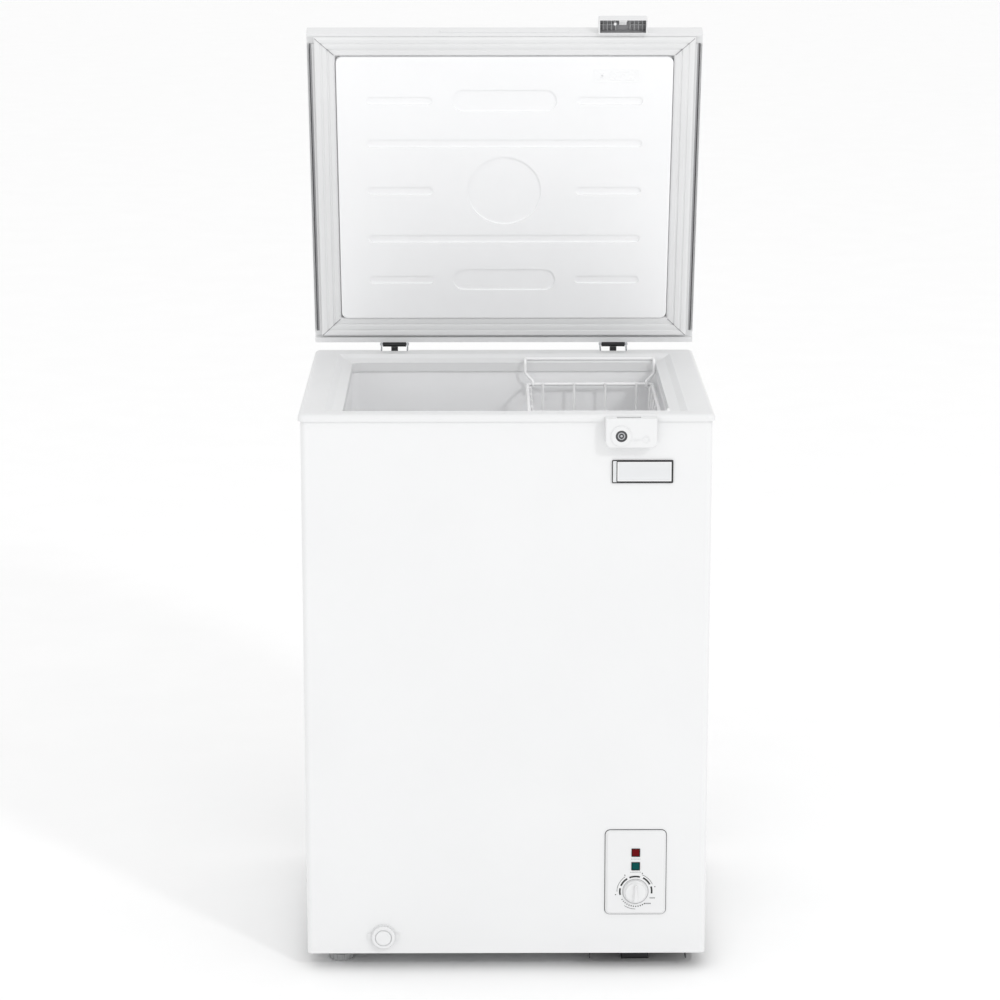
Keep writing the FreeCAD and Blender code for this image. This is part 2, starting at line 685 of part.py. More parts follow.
def tray_points():
    return [(bay_left + 24, face + 26), (side - 52, face + 26), (bay_left + 24, back - 26),
            (side - 52, back - 26)]


# front fittings

def control_panel():
    p = Piece("bezel_plate")
    x0, z0 = panel_x - s.panel_w / 2, s.panel_z - s.panel_h / 2
    p.pad(p.rectangle("XZ", (x0, face, z0), s.panel_w, s.panel_h), s.panel_t)
    p.dress("Fillet", 6.5, lambda m, d: d == "y")
    p.dress("Chamfer", 3.2, lambda m, d: near(m.y, face - s.panel_t))
    box = block("bezel_box", (panel_x - 21, face, s.knob_z - 22), (panel_x + 21, face + 22, s.red_z + 8))
    hollow = block("bezel_hollow", (panel_x - 19, face - s.panel_t + 2.2, s.knob_z - 20),
                   (panel_x + 19, face + 23, s.knob_z + 20))
    shaft = rod("bezel_shaft", 4.2, 20, (panel_x, face - 10, s.knob_z), "y")
    lamps = [block(f"bezel_lamp_{z}", (panel_x - s.lamp_size / 2 - 0.05, face - 10,
                                       z - s.lamp_size / 2 - 0.05),
                   (panel_x + s.lamp_size / 2 + 0.05, face + 23, z + s.lamp_size / 2 + 0.05))
             for z in (s.red_z,)]
    green = block("bezel_lamp_green", (panel_x - s.lamp_size / 2 - 0.05, face - 10,
                                       s.green_z - s.lamp_size / 2 - 0.05),
                  (panel_x + s.lamp_size / 2 + 0.05, face + 23, s.green_z + s.lamp_size / 2 + 0.05))
    keep(cut("bezel_cut", join("bezel_join", [p.body, box]), [hollow, shaft, green] + lamps), "control_bezel")
    for name, z in (("lamp_red", s.red_z), ("lamp_green", s.green_z)):
        lens = Piece(name)
        lens.pad(lens.rectangle("XZ", (panel_x - s.lamp_size / 2, face + 12, z - s.lamp_size / 2),
                                s.lamp_size, s.lamp_size), s.panel_t + 12.8)
        lens.dress("Chamfer", 0.8, lambda m, d: near(m.y, face - s.panel_t - 0.8))
        lens.done()
    block_low = (panel_x - 17, face + 1, s.knob_z - 17)
    body = block("thermo_box", block_low, (panel_x + 17, face + 21, s.knob_z + 17))
    bore = rod("thermo_bore", 3.05, 40, (panel_x, face - 10, s.knob_z), "y")
    keep(cut("thermo_cut", body, [bore]), "thermostat_body")


def thermostat_knob():
    p = Piece("knob_turned")
    r, rise = s.knob_r, s.knob_h
    front = face - s.panel_t
    # a cap with a low skirt, turned about the shaft, drawn with the shaft upwards and laid forward
    profile = p.outline(p.sketch("XY", (panel_x, front - 0.4, s.knob_z)),
                        [(0, 0), (r, 0), (r, -3.2), (r * 0.9, -4.4), (r * 0.84, -rise + 3),
                         (r * 0.78, -rise + 1.6),
                         (0, -rise + 1.6)])
    p.revolve(profile)
    p.pad(p.rectangle("XZ", (panel_x - 3, front - rise + 4, s.knob_z - r * 0.8), 6, r * 1.6), 4)
    p.dress("Fillet", 1.6, lambda m, d: near(m.y, front - rise) and d == "z")
    shaft = rod("knob_shaft", 3.0, s.panel_t + 20, (panel_x, front - 1, s.knob_z), "y")
    keep(join("knob_join", [p.body, shaft]), "thermostat_knob")


def nameplate():
    p = Piece("nameplate")
    p.pad(p.rectangle("XZ", (s.badge_x - s.badge_w / 2, face, s.badge_z - s.badge_h / 2), s.badge_w,
                      s.badge_h),
          s.badge_t)
    p.dress("Fillet", 1.5, lambda m, d: d == "y")
    p.pocket(p.rectangle("XZ", (s.badge_x - s.badge_w / 2 + 3.2, face - s.badge_t,
                                s.badge_z - s.badge_h / 2 + 2.6),
                         s.badge_w - 6.4, s.badge_h - 5.2), 0.5)
    p.done()


def lock():
    x0, x1 = s.lock_x - s.lock_w / 2, s.lock_x + s.lock_w / 2
    z1 = top - 2.4
    z0 = z1 - s.lock_h
    front = face - s.lock_out
    key_z = top - s.key_drop
    p = Piece("lock_block")
    p.pad(p.rectangle("XZ", (x0, face, z0), s.lock_w, s.lock_h), s.lock_out)
    p.dress("Fillet", 8, lambda m, d: d == "y" and near(m.z, z0))
    p.dress("Fillet", 2, lambda m, d: near(m.y, front))
    boss = rod("lock_boss", 14, 0.8, (s.key_x, front - 0.8, key_z), "y")
    hollow = block("lock_hollow", (x0 + s.lock_wall, front + s.lock_wall, z0 + s.lock_wall),
                   (x1 - s.lock_wall, face + 1, z1 - s.lock_wall))
    slot = block("lock_slot", (s.key_x - 6, face - 14, z1 - 4), (s.key_x + 26, face - 7, z1 + 1))
    nose = block("lock_nose", (x0 - 1, -rim_y - 0.2, body_top - 0.4), (x1 + 1, face + 1, z1 + 1))
    bore = rod("lock_bore", s.key_r + s.run_gap, 8, (s.key_x, front - 2, key_z), "y")
    keep(cut("lock_cut", join("lock_join", [p.body, boss]), [hollow, slot, nose, bore]), "lock_housing")
    plug = rod("cylinder_plug", s.key_r, s.lock_out - 6.5, (s.key_x, front + 0.2, key_z), "y")
    arm = block("cylinder_arm", (s.key_x, face - 12, key_z - 4), (s.key_x + s.hook_len, face - 9, key_z + 4))
    tip = block("cylinder_tip", (s.key_x + s.hook_len - 5, face - 12, key_z - 9),
                (s.key_x + s.hook_len, face - 9, key_z + 4))
    slit = block("cylinder_slit", (s.key_x - 0.6, front - 1, key_z - 4),
                 (s.key_x + 0.6, front + 4, key_z + 4))
    core = rod("cylinder_core", 1.6, 5, (s.key_x, front - 1, key_z), "y")
    keep(cut("cylinder_cut", join("cylinder_join", [plug, arm, tip]), [slit, core]), "lock_cylinder")


def drain():
    r_out = s.pipe_r + s.pipe_wall
    horizontal = rod("pipe_run", r_out, s.drain_back + r_out + 3, (s.drain_x, face, s.drain_z), "y")
    drop = rod("pipe_drop", r_out + s.drop_more, s.tub_floor - s.tub_wall - s.drain_z + s.sump,
               (s.drain_x, drain_y(), s.drain_z - s.sump))
    bore = rod("pipe_bore", s.pipe_r, s.drain_back + 1, (s.drain_x, face - 1, s.drain_z), "y")
    fall = rod("pipe_fall", s.pipe_r + s.drop_more, s.tub_floor - s.drain_z + s.pipe_r / 2,
               (s.drain_x, drain_y(), s.drain_z - s.pipe_r / 2))
    keep(cut("pipe_cut", join("pipe_join", [horizontal, drop]), [bore, fall, rod(
        "pipe_seat", r_out + 1, s.sheet, (s.drain_x, face, s.drain_z), "y")]), "drain_tube")
    flange = rod("drain_flange", s.drain_r + 1.5, 3, (s.drain_x, face - 3, s.drain_z), "y")
    lugs = [block(f"drain_lug_{a}", (s.drain_x + a * (s.drain_r + 3) - 2.5, face - 2.5, s.drain_z - 5),
                  (s.drain_x + a * (s.drain_r + 3) + 2.5, face, s.drain_z + 5)) for a in (-1, 1)]
    keep(cut("drain_flange_cut", join("drain_flange_join", [flange] + lugs),
             [rod("drain_flange_bore", s.pipe_r + 0.3, 6, (s.drain_x, face - 4, s.drain_z),
                  "y")]), "drain_bezel")
    p = Piece("drain_plug")
    reach = s.pipe_r - s.run_gap
    profile = p.outline(p.sketch("XY", (s.drain_x, face - 3.3, s.drain_z)),
                        [(0, 22), (reach, 22), (reach, 0), (s.drain_r, 0), (s.drain_r, -3.5),
                         (s.drain_r - 1.5, -5),
                         (s.drain_r - 4, -5), (s.drain_r - 5, -3), (s.drain_r - 6, -5), (0, -5)])
    p.revolve(profile)
    p.done()
    q = Piece("inner_drain_plug")
    floor = s.tub_floor + 0.2
    q.revolve(q.outline(q.sketch("XZ", (s.drain_x, drain_y(), floor)),
                        [(0, -12), (reach, -12), (reach, 0), (14, 0), (14, 3), (5, 4), (5, 12), (0, 12)]))
    q.done()


def feet():
    for name, (x, y) in zip(("foot_front_left", "foot_rear_left"), left_feet()):
        p = Piece(name)
        r = s.foot_r
        p.revolve(p.outline(p.sketch("XZ", (x, y, 0)),
                            [(0, 0), (r - 1.5, 0), (r, 1.5), (r, 9), (r - 3, 11), (r - 3, s.foot_h - 0.3),
                             (s.stud_r, s.foot_h - 0.3), (s.stud_r, s.foot_h + 26), (0, s.foot_h + 26)]))
        p.done()
    x0, half = panel_x + 2 - s.block_w / 2, s.block_w
    for name, y in (("foot_front_right", face + 33), ("foot_rear_right", back - 33 - s.block_d)):
        p = Piece(name)
        p.pad(p.outline(p.sketch("YZ", (x0, y, 0)), [(3, 0), (s.block_d - 3, 0), (s.block_d, 3),
                                                     (s.block_d, s.foot_h), (0, s.foot_h), (0, 3)]), half)
        p.dress("Fillet", 2, lambda m, d: d == "z")
        p.done()


# hinges

def body_screws():
    return [(sign * s.hinge_x + dx, 60.0) for sign in (-1, 1) for dx in (-11, 11)]


def hinges():
    plungers, springs, pins, screws, leaf_screws = [], [], [], [], []
    half = s.hinge_w / 2
    low = top - s.hinge_len
    for word, sign in (("left", -1), ("right", 1)):
        x = sign * s.hinge_x
        p = Piece(f"hinge_web_{word}")
        y0, y1, y2 = back, back + 14, axis_y
        cheek = p.outline(p.sketch("YZ", (x - half, y0, low)),
                          [(0, 0), (14, 0), (14, s.hinge_len + 1),
                           (y2 + 4 - y0, s.hinge_len + s.hinge_up - 2.5),
                           (y2 + 2.8 - y0, s.hinge_len + s.hinge_up + 2.6), (y2 - 2.8 - y0,
                                                                             s.hinge_len + s.hinge_up + 2.6),
                           (y2 - 4 - y0, s.hinge_len + s.hinge_up - 2.5), (y2 - 4 - y0, s.hinge_len + 2),
                           (-8, s.hinge_len + 2), (-8, s.hinge_len - 5.6), (0, s.hinge_len - 5.6)])
        p.pad(cheek, s.hinge_w)
        hollow = block(f"hinge_hollow_{word}", (x - half + s.hinge_plate, y0 + s.hinge_plate, low - 1),
                       (x + half - s.hinge_plate, y1 + 30, top + 30))
        front = block(f"hinge_front_{word}", (x - half + s.hinge_plate, y0 - 20, top - 8),
                      (x + half - s.hinge_plate, y1, top + 30))
        bore = rod(f"hinge_bore_{word}", s.pin_r + 0.02, s.hinge_w + 4, (x - half - 2, axis_y, axis_z), "x")
        holes = [rod(f"web_hole_{word}_{dx}", 2.1, 6, (x + dx, back - 1, top - 60), "y") for dx in (-11, 11)]
        keep(cut(f"hinge_cut_{word}", p.body, [hollow, front, bore] + holes), f"hinge_body_{word}")
        pins.append(rod(f"pin_{word}", s.pin_r, s.hinge_w + 2, (x - half - 1, axis_y, axis_z), "x"))
        plungers.append(rod(f"plunger_{word}", 5, 12, (x, axis_y + 0.6, axis_z - 4.4 - 12)))
        springs.append(spring(float(x), float(axis_y) + 0.6, float(low) + 6, float(axis_z) - 17.0))
        for dx in (-11, 11):
            screws.append(rod(f"screw_head_{word}_{dx}", 3.8, 2.2, (x + dx, back + s.hinge_plate, top - 60),
                              "y"))
            screws.append(rod(f"screw_shank_{word}_{dx}", 2, 12, (x + dx, back - 9.5, top - 60), "y"))
        # the leaf, in the lid's own frame
        width = s.leaf_w / 2
        leaf = Piece(f"leaf_plate_{word}")
        leaf.pad(leaf.rectangle("YZ", (x - width, -s.hinge_back, s.lid_up - s.hinge_up), 2.5,
                                s.lid_depth - 12), s.leaf_w)
        leaf.dress("Fillet", 5, lambda m, d: d == "y" and m.z > 10)
        knuckle = rod(f"knuckle_{word}", 3.8, s.leaf_w, (x - width, 0, 0), "x")
        hole = rod(f"knuckle_bore_{word}", s.pin_r + s.run_gap, s.leaf_w + 2, (x - width - 1, 0, 0), "x")
        screw_holes = [rod(f"leaf_hole_{word}_{dx}", 2.1, 6, (x + dx, -s.hinge_back - 1, 20),
                           "y") for dx in (-10, 10)]
        keep(cut(f"leaf_cut_{word}", join(f"leaf_join_{word}", [leaf.body, knuckle]), [hole] + screw_holes),
             f"hinge_leaf_{word}", True)
        for dx in (-10, 10):
            leaf_screws.append(rod(f"leaf_head_{word}_{dx}", 3.8, 2.2, (x + dx, 2.5 - s.hinge_back, 20), "y"))
            leaf_screws.append(rod(f"leaf_shank_{word}_{dx}", 2, 12, (x + dx, -9.5 - s.hinge_back, 20), "y"))
    keep(join("pins_join", pins), "hinge_pins")
    keep(join("plungers_join", plungers), "hinge_plungers")
    keep(join("screws_join", screws), "hinge_screws")
    keep(join("leaf_screws_join", leaf_screws), "lid_hinge_screws", True)
    shaped("hinge_springs", Part.makeCompound(springs))


def spring(x, y, low, high):
    """A closed coil between two levels."""
    turns, wire, radius = 7, 0.7, 4.2
    helix = Part.makeHelix((high - low - 2 * wire) / turns, high - low - 2 * wire, radius)
    ring = Part.Wire([Part.Circle(Vector(radius, 0, 0), Vector(0, 1, 0), wire).toShape()])
    coil = Part.Wire(helix.Edges).makePipeShell([ring], True, True)
    coil.translate(Vector(x, y, low + wire))
    return coil


# lid, in its own frame about the hinge axis

lid_low = s.lid_up - s.hinge_up
lid_plane = lid_low + 6
lid_edge_x = rim_x - 7.5
lid_front = -2 * rim_y - s.hinge_back
lid_rear = -s.hinge_back
gasket_low = s.gasket_gap - s.hinge_up
pan_front_y = lid_front + s.pan_front
pan_rear_y = lid_rear - s.pan_rear


def lid_outer_panel():
    p = Piece("lid_outer_panel")
    y0, y1 = lid_front + s.trim_d, lid_rear - s.trim_d
    p.pad(p.rectangle("XZ", (-rim_x, y1, lid_low), 2 * rim_x, s.lid_depth), y1 - y0)
    inner = p.rectangle("XZ", (-rim_x + s.sheet, y0, lid_low), 2 * (rim_x - s.sheet), s.lid_depth - s.sheet)
    p.pocket(inner, y1 - y0)
    p.dress("Fillet", 11.2, lambda m, d: d == "y" and near(m.z, lid_top - s.sheet))
    p.dress("Fillet", 12, lambda m, d: d == "y" and near(m.z, lid_top))
    hem = rim_x - lid_edge_x - 0.3
    for start in (-rim_x, lid_edge_x + 0.3):
        p.pad(p.rectangle("XZ", (start, y1, lid_plane), hem, s.sheet), y1 - y0)
    p.done(on_lid=True)


def lid_trims():
    wall = s.trim_wall
    for name, outer, sign, foot in (("lid_front_trim", lid_front, 1, s.lip_front),
                                    ("lid_rear_trim", lid_rear, -1, s.lip_rear)):
        p = Piece(name)
        depth, tall, lip, rise = sign * s.trim_d, s.lid_depth, sign * foot, lid_plane - lid_low
        p.pad(p.outline(p.sketch("YZ", (-rim_x, outer, lid_low)),
                        [(0, 0), (lip, 0), (lip, rise), (depth, rise), (depth, tall),
                         (sign * 10.0, tall - 2.5),
                         (sign * 4.5, tall - 11), (sign * 1.2, tall - 22), (0, tall - 31)]), 2 * rim_x)
        p.dress("Fillet", 2, lambda m, d: d == "z" and near(abs(m.x), rim_x))
        p.dress("Fillet", 8, lambda m, d: d == "x" and near(m.z, lid_top - 11))
        p.pocket(p.outline(p.sketch("YZ", (-rim_x + wall, outer, lid_low)),
                           [(sign * wall, rise + wall), (depth, rise + wall), (depth, tall - wall),
                            (sign * (10.0 + wall), tall - 5.5),
                            (sign * (4.5 + wall), tall - 13), (sign * (1.2 + wall), tall - 23),
                            (sign * wall, tall - 32)]), 2 * (rim_x - wall), True)
        if sign > 0:
            grip = p.rectangle("XZ", (-90, outer, lid_low + 2), 180, 6)
            p.pad(grip, 1.6)
            p.dress("Fillet", 1.2, lambda m, d: d == "z" and near(m.y, outer - 1.6))
        p.done(on_lid=True)


def lid_liner():
    p = Piece("lid_liner")
    w = s.pan_side
    p.pad(p.rectangle("XY", (-lid_edge_x, lid_front + s.trim_d + 0.3, lid_plane), 2 * lid_edge_x,
                      lid_rear - lid_front - 2 * s.trim_d - 0.6), 1.5)
    low = lid_plane - s.pan_drop
    p.pad(p.rectangle("XY", (-w, pan_front_y, low), 2 * w, pan_rear_y - pan_front_y), s.pan_drop)
    p.dress("Fillet", 9, lambda m, d: d == "z" and near(abs(m.x), w))
    p.dress("Fillet", 2, lambda m, d: near(m.z, low))
    t = s.pan_wall
    p.pocket(p.rectangle("XY", (-w + t, pan_front_y + t, low + t), 2 * (w - t),
                         pan_rear_y - pan_front_y - 2 * t),
             s.pan_drop, True)
    wide = 2 * w
    length = pan_rear_y - pan_front_y
    for row, share in enumerate((0.16, 0.5, 0.846)):
        y = pan_front_y + length * share
        for sign in (-1, 1):
            stadium(p, sign * wide * 0.314, y, wide * 0.197, 12, low)
        if row != 1:
            stadium(p, 0, y, wide * 0.312, 33, low)
    for share in (0.32, 0.685):
        stadium(p, 0, pan_front_y + length * share, wide * 0.825, 12, low)
    ring = p.circle(p.sketch("XY", (0, pan_front_y + length * 0.5, low)), 52)
    p.pocket(ring, s.groove, True)
    p.done(on_lid=True)


def stadium(p, x, y, length, width, z):
    """A shallow round-ended recess in the lid's pan."""
    r = as_size(width) / 2
    half = as_size(length) / 2 - r
    p.pocket(p.rectangle("XY", (as_size(x) - half, y - r, z), half * 2, r * 2), s.groove, True)
    for sign in (-1, 1):
        p.pocket(p.circle(p.sketch("XY", (as_size(x) + half * sign, y, z)), r), s.groove, True)


def lid_gasket():
    p = Piece("lid_gasket")
    gap = 0.7
    x_in, y_in, y_out = s.pan_side + gap, pan_front_y - gap, pan_rear_y + gap
    g = s.gasket_w
    front_w = y_in - lid_front - s.lip_front - 0.3
    p.pad(p.rectangle("XY", (-x_in - g, y_in - front_w, gasket_low), 2 * (x_in + g),
                      y_out - y_in + front_w + g),
          lid_plane - gasket_low - 0.1)
    p.pocket(p.rectangle("XY", (-x_in, y_in, gasket_low), 2 * x_in, y_out - y_in), 20, True)
    p.done(on_lid=True)


def lid_foam():
    inside = rim_x - s.sheet - 0.1
    p = Piece("lid_foam_block")
    y0, y1 = lid_front + s.trim_d + 0.1, lid_rear - s.trim_d - 0.1
    p.pad(p.rectangle("XZ", (-inside, y1, lid_plane + 1.6), 2 * inside, s.lid_depth - 6 - s.sheet - 1.7),
          y1 - y0)
    p.dress("Fillet", 12, lambda m, d: d == "y" and m.z > 20)
    t, w = s.pan_wall + 0.1, s.pan_side
    pan = block("lid_foam_pan", (-w + t, pan_front_y + t, lid_plane - s.pan_drop + t),
                (w - t, pan_rear_y - t, lid_plane + 2))
    keep(join("lid_foam_join", [p.body, pan]), "lid_foam", True)


def lid_catch():
    """A hollow hood on the lid's front edge, open below, with a tab and a striker post inside."""
    x0, x1 = s.lock_x - s.lock_w / 2, s.lock_x + s.lock_w / 2
    low, high = lid_low - 5, lid_low + 14
    front = lid_front - 22.5
    p = Piece("catch_hood")
    p.pad(p.outline(p.sketch("YZ", (x0, front, low)), [(0, 0), (22.4, 0), (22.4, 19), (7, 19), (0, 13)]),
          s.lock_w)
    p.dress("Fillet", 6, lambda m, d: d == "x" and near(m.z, high) and m.y < float(lid_front) - 10)
    p.dress("Fillet", 3, lambda m, d: near(m.y, front) and d == "z")
    hollow = block("catch_hollow", (x0 + 2, front + 2, low - 1), (x1 - 2, lid_front - 1.8, high - 6))
    top_hollow = block("catch_top_hollow", (x0 + 2, front + 8, high - 7), (x1 - 2, lid_front - 1.8, high - 2))
    tab = block("catch_tab", (s.lock_x - 5.5, front + 1.9, low + 2), (s.lock_x + 5.5, front + 5, high - 8))
    post = rod("catch_post", 2, high - low - 3, (s.key_x + 2, front + 8, low + 1.5))
    keep(join("catch_join", [cut("catch_cut", p.body, [hollow, top_hollow]), tab, post]), "lid_catch", True)


# basket

def basket():
    x0, x1 = float(s.basket_x - s.basket_w / 2), float(s.basket_x + s.basket_w / 2)
    mid_y = float(throat_front + throat_back) / 2
    half = float(throat_back - throat_front - s.basket_clear) / 2
    y0, y1 = mid_y - half, mid_y + half
    rim_z = float(top - s.basket_rim)
    floor = rim_z - float(s.basket_h)
    r, m = float(s.rim_wire), float(s.mesh_wire)
    rim_bend = 6.0
    shaped("basket_rim", ring_wire(x0, y0, x1, y1, rim_z, rim_bend, r))
    inset, slope_in = r + m, 9.0
    count = 4
    pitch = float(s.basket_w) / count
    first = float(s.basket_x) - pitch * (count - 1) / 2
    long_wires = []
    for i in range(count):
        x = first + i * pitch
        long_wires.append(pipe(bent([(x, y0 + inset, rim_z + r), (x, y0 + inset + slope_in, floor),
                                     (x, y1 - inset - slope_in, floor), (x, y1 - inset, rim_z + r)], 12), m))
    shaped("basket_long_wires", Part.makeCompound(long_wires))
    cross, rows = [], 7
    step = (y1 - y0 - 70) / (rows - 1)
    for i in range(rows):
        y = y0 + 35 + i * step
        cross.append(pipe(bent([(x0 + inset, y, rim_z + r), (x0 + inset + slope_in, y, floor - 2 * m),
                                (x1 - inset - slope_in, y, floor - 2 * m), (x1 - inset, y,
                                                                            rim_z + r)], 12), m))
    shaped("basket_cross_wires", Part.makeCompound(cross))
    # each bail turns on two eyes round the rim's end wire, and rests on the collar's ledge
    b = float(s.bail_wire)
    eye, out_by = b - 0.3, 7.0
    eye_r = r + 0.2 + eye
    rest_z = float(top - ledge_low) + float(s.ledge_down / s.ledge_in) * out_by + b + 0.3
    xa, xb, spread = x0 + rim_bend + eye + 0.6, x1 - rim_bend - eye - 0.6, 3.0
    for word, y_rim, out in (("front", y0, -1), ("rear", y1, 1)):
        y_high = float(throat_back if out > 0 else throat_front) + out * out_by
        path = bent([(xa, y_rim, rim_z + eye_r - 0.5), (x0 - spread, y_rim + out, rim_z + 16),
                     (x0 - spread, y_rim + out * 2, rest_z), (x0 - spread, y_high, rest_z),
                     (x1 + spread, y_high, rest_z), (x1 + spread, y_rim + out * 2, rest_z),
                     (x1 + spread, y_rim + out, rim_z + 16), (xb, y_rim, rim_z + eye_r - 0.5)], 4)
        eyes = [Part.makeTorus(eye_r, eye, Vector(x, y_rim, rim_z), Vector(1, 0, 0)) for x in (xa, xb)]
        shaped(f"basket_handle_{word}", pipe(path, b).fuse(eyes).removeSplitter())


def mains_gland():
    x, z = bay_left + 22, s.foot_h + 30
    body = rod("gland_body", 9, 9, (x, back + 1.35, z), "y")
    nut = rod("gland_nut", 11, 4, (x, back + 1.35, z), "y")
    bore = rod("gland_bore", 3.6, 30, (x, back - 10, z), "y")
    keep(cut("gland_cut", join("gland_join", [body, nut]), [bore]), "mains_gland")


def main():
    outer_shell()
    flat_panels()
    bay_cover()
    collar_frame()
    inner_liner()
    body_foam()
    tubes()
    compressor()
    compressor_tray()
    control_panel()
    thermostat_knob()
    nameplate()
    lock()
    drain()
    feet()
    hinges()
    lid_outer_panel()
    lid_trims()
    lid_liner()
    lid_gasket()
    lid_foam()
    lid_catch()
    basket()
    mains_gland()
    doc.recompute()
    for item in doc.Objects:
        if set(item.State) & {"Invalid", "Error"}:
            raise RuntimeError(f"{item.Name} failed: {item.State}")
    os.makedirs("parts", exist_ok=True)
    for item in nodes:
        if item.Shape.isNull() or not item.Shape.isValid() or not item.Shape.Solids:
            raise RuntimeError(f"{item.Label} has no valid solid")
    for item in nodes:
        item.Shape.exportStep(f"parts/{item.Label}.step")
    print(len(nodes), "nodes, cabinet shift", round(float(shift_y), 3),
          "hinge axis", round(float(axis_y + shift_y), 3), round(float(axis_z), 3))


main()
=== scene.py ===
import json
import math

import bpy
from mathutils import Matrix, Vector


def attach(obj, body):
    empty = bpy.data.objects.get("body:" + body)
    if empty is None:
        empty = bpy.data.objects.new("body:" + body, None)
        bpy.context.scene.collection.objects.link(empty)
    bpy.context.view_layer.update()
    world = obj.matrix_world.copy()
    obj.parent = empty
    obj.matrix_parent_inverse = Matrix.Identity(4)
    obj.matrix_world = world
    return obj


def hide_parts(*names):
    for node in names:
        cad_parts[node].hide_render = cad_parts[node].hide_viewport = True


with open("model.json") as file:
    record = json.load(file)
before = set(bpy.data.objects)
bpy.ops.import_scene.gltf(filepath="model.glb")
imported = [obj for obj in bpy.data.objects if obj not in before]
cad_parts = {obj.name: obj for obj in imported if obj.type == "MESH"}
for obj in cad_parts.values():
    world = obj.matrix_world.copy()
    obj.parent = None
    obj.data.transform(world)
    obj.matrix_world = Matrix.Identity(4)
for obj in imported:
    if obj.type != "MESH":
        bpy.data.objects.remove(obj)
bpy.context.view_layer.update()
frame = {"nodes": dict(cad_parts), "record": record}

# Every length below is in mm; the frame is in metres.

MM = 0.001
SHIFT_Y = -12.821                    # the cabinet's offset from the frame's origin
AXIS_Y, AXIS_Z = 232.429, 782.5      # the lid's hinge line
LID_OPEN = math.radians(73.0)
FACE_Y = 237.5                       # half the cabinet's depth
LID_TURN = (Matrix.Translation((0, AXIS_Y * MM, AXIS_Z * MM)) @ Matrix.Rotation(-LID_OPEN, 4, "X")
            @ Matrix.Translation((0, -AXIS_Y * MM, -AXIS_Z * MM)))


# materials

COAT_ROUGH = 0.12
WEAR = 0.06                          # how far the gloss varies either way
RELIEF = 0.0004                      # height of the surface texture, m
CLOUD_SHARE = 0.12                   # the colour varies over larger patches than the gloss


def material(slot, colour, rough, metal=0.0, spread=0.03, grain=60.0, bump=0.05, bump_grain=900.0, coat=0.0,
             stretch=(1.0, 1.0, 1.0), specular=0.5):
    """A procedural finish: slight uneven colour, uneven gloss and a fine surface texture."""
    mat = bpy.data.materials.new(slot)
    mat.use_nodes = True
    nodes, links = mat.node_tree.nodes, mat.node_tree.links
    shader = nodes["Principled BSDF"]
    shader.inputs["Metallic"].default_value = metal
    shader.inputs["Coat Weight"].default_value = coat
    shader.inputs["Coat Roughness"].default_value = COAT_ROUGH
    shader.inputs["Specular IOR Level"].default_value = specular
    place = nodes.new("ShaderNodeTexCoord")
    scale = nodes.new("ShaderNodeMapping")
    scale.inputs["Scale"].default_value = stretch
    links.new(place.outputs["Object"], scale.inputs["Vector"])

    cloud = nodes.new("ShaderNodeTexNoise")
    cloud.inputs["Scale"].default_value = grain * CLOUD_SHARE
    cloud.inputs["Detail"].default_value = 6
    ramp = nodes.new("ShaderNodeValToRGB")
    low, high = ramp.color_ramp.elements
    low.position, high.position = 0.3, 0.7
    low.color = (*[max(0.0, c * (1 - spread)) for c in colour], 1)
    high.color = (*[min(1.0, c * (1 + spread * 0.4)) for c in colour], 1)
    links.new(scale.outputs["Vector"], cloud.inputs["Vector"])
    links.new(cloud.outputs["Fac"], ramp.inputs["Fac"])
    links.new(ramp.outputs["Color"], shader.inputs["Base Color"])

    patches = nodes.new("ShaderNodeTexNoise")
    patches.inputs["Scale"].default_value = grain
    patches.inputs["Detail"].default_value = 4
    gloss = nodes.new("ShaderNodeMapRange")
    gloss.inputs["To Min"].default_value = max(0.03, rough - WEAR)
    gloss.inputs["To Max"].default_value = min(1.0, rough + WEAR)
    links.new(scale.outputs["Vector"], patches.inputs["Vector"])
    links.new(patches.outputs["Fac"], gloss.inputs["Value"])
    links.new(gloss.outputs["Result"], shader.inputs["Roughness"])

    fine = nodes.new("ShaderNodeTexNoise")
    fine.inputs["Scale"].default_value = bump_grain
    fine.inputs["Detail"].default_value = 3
    dents = nodes.new("ShaderNodeBump")
    dents.inputs["Strength"].default_value = bump
    dents.inputs["Distance"].default_value = RELIEF
    links.new(scale.outputs["Vector"], fine.inputs["Vector"])
    links.new(fine.outputs["Fac"], dents.inputs["Height"])
    links.new(dents.outputs["Normal"], shader.inputs["Normal"])
    return mat


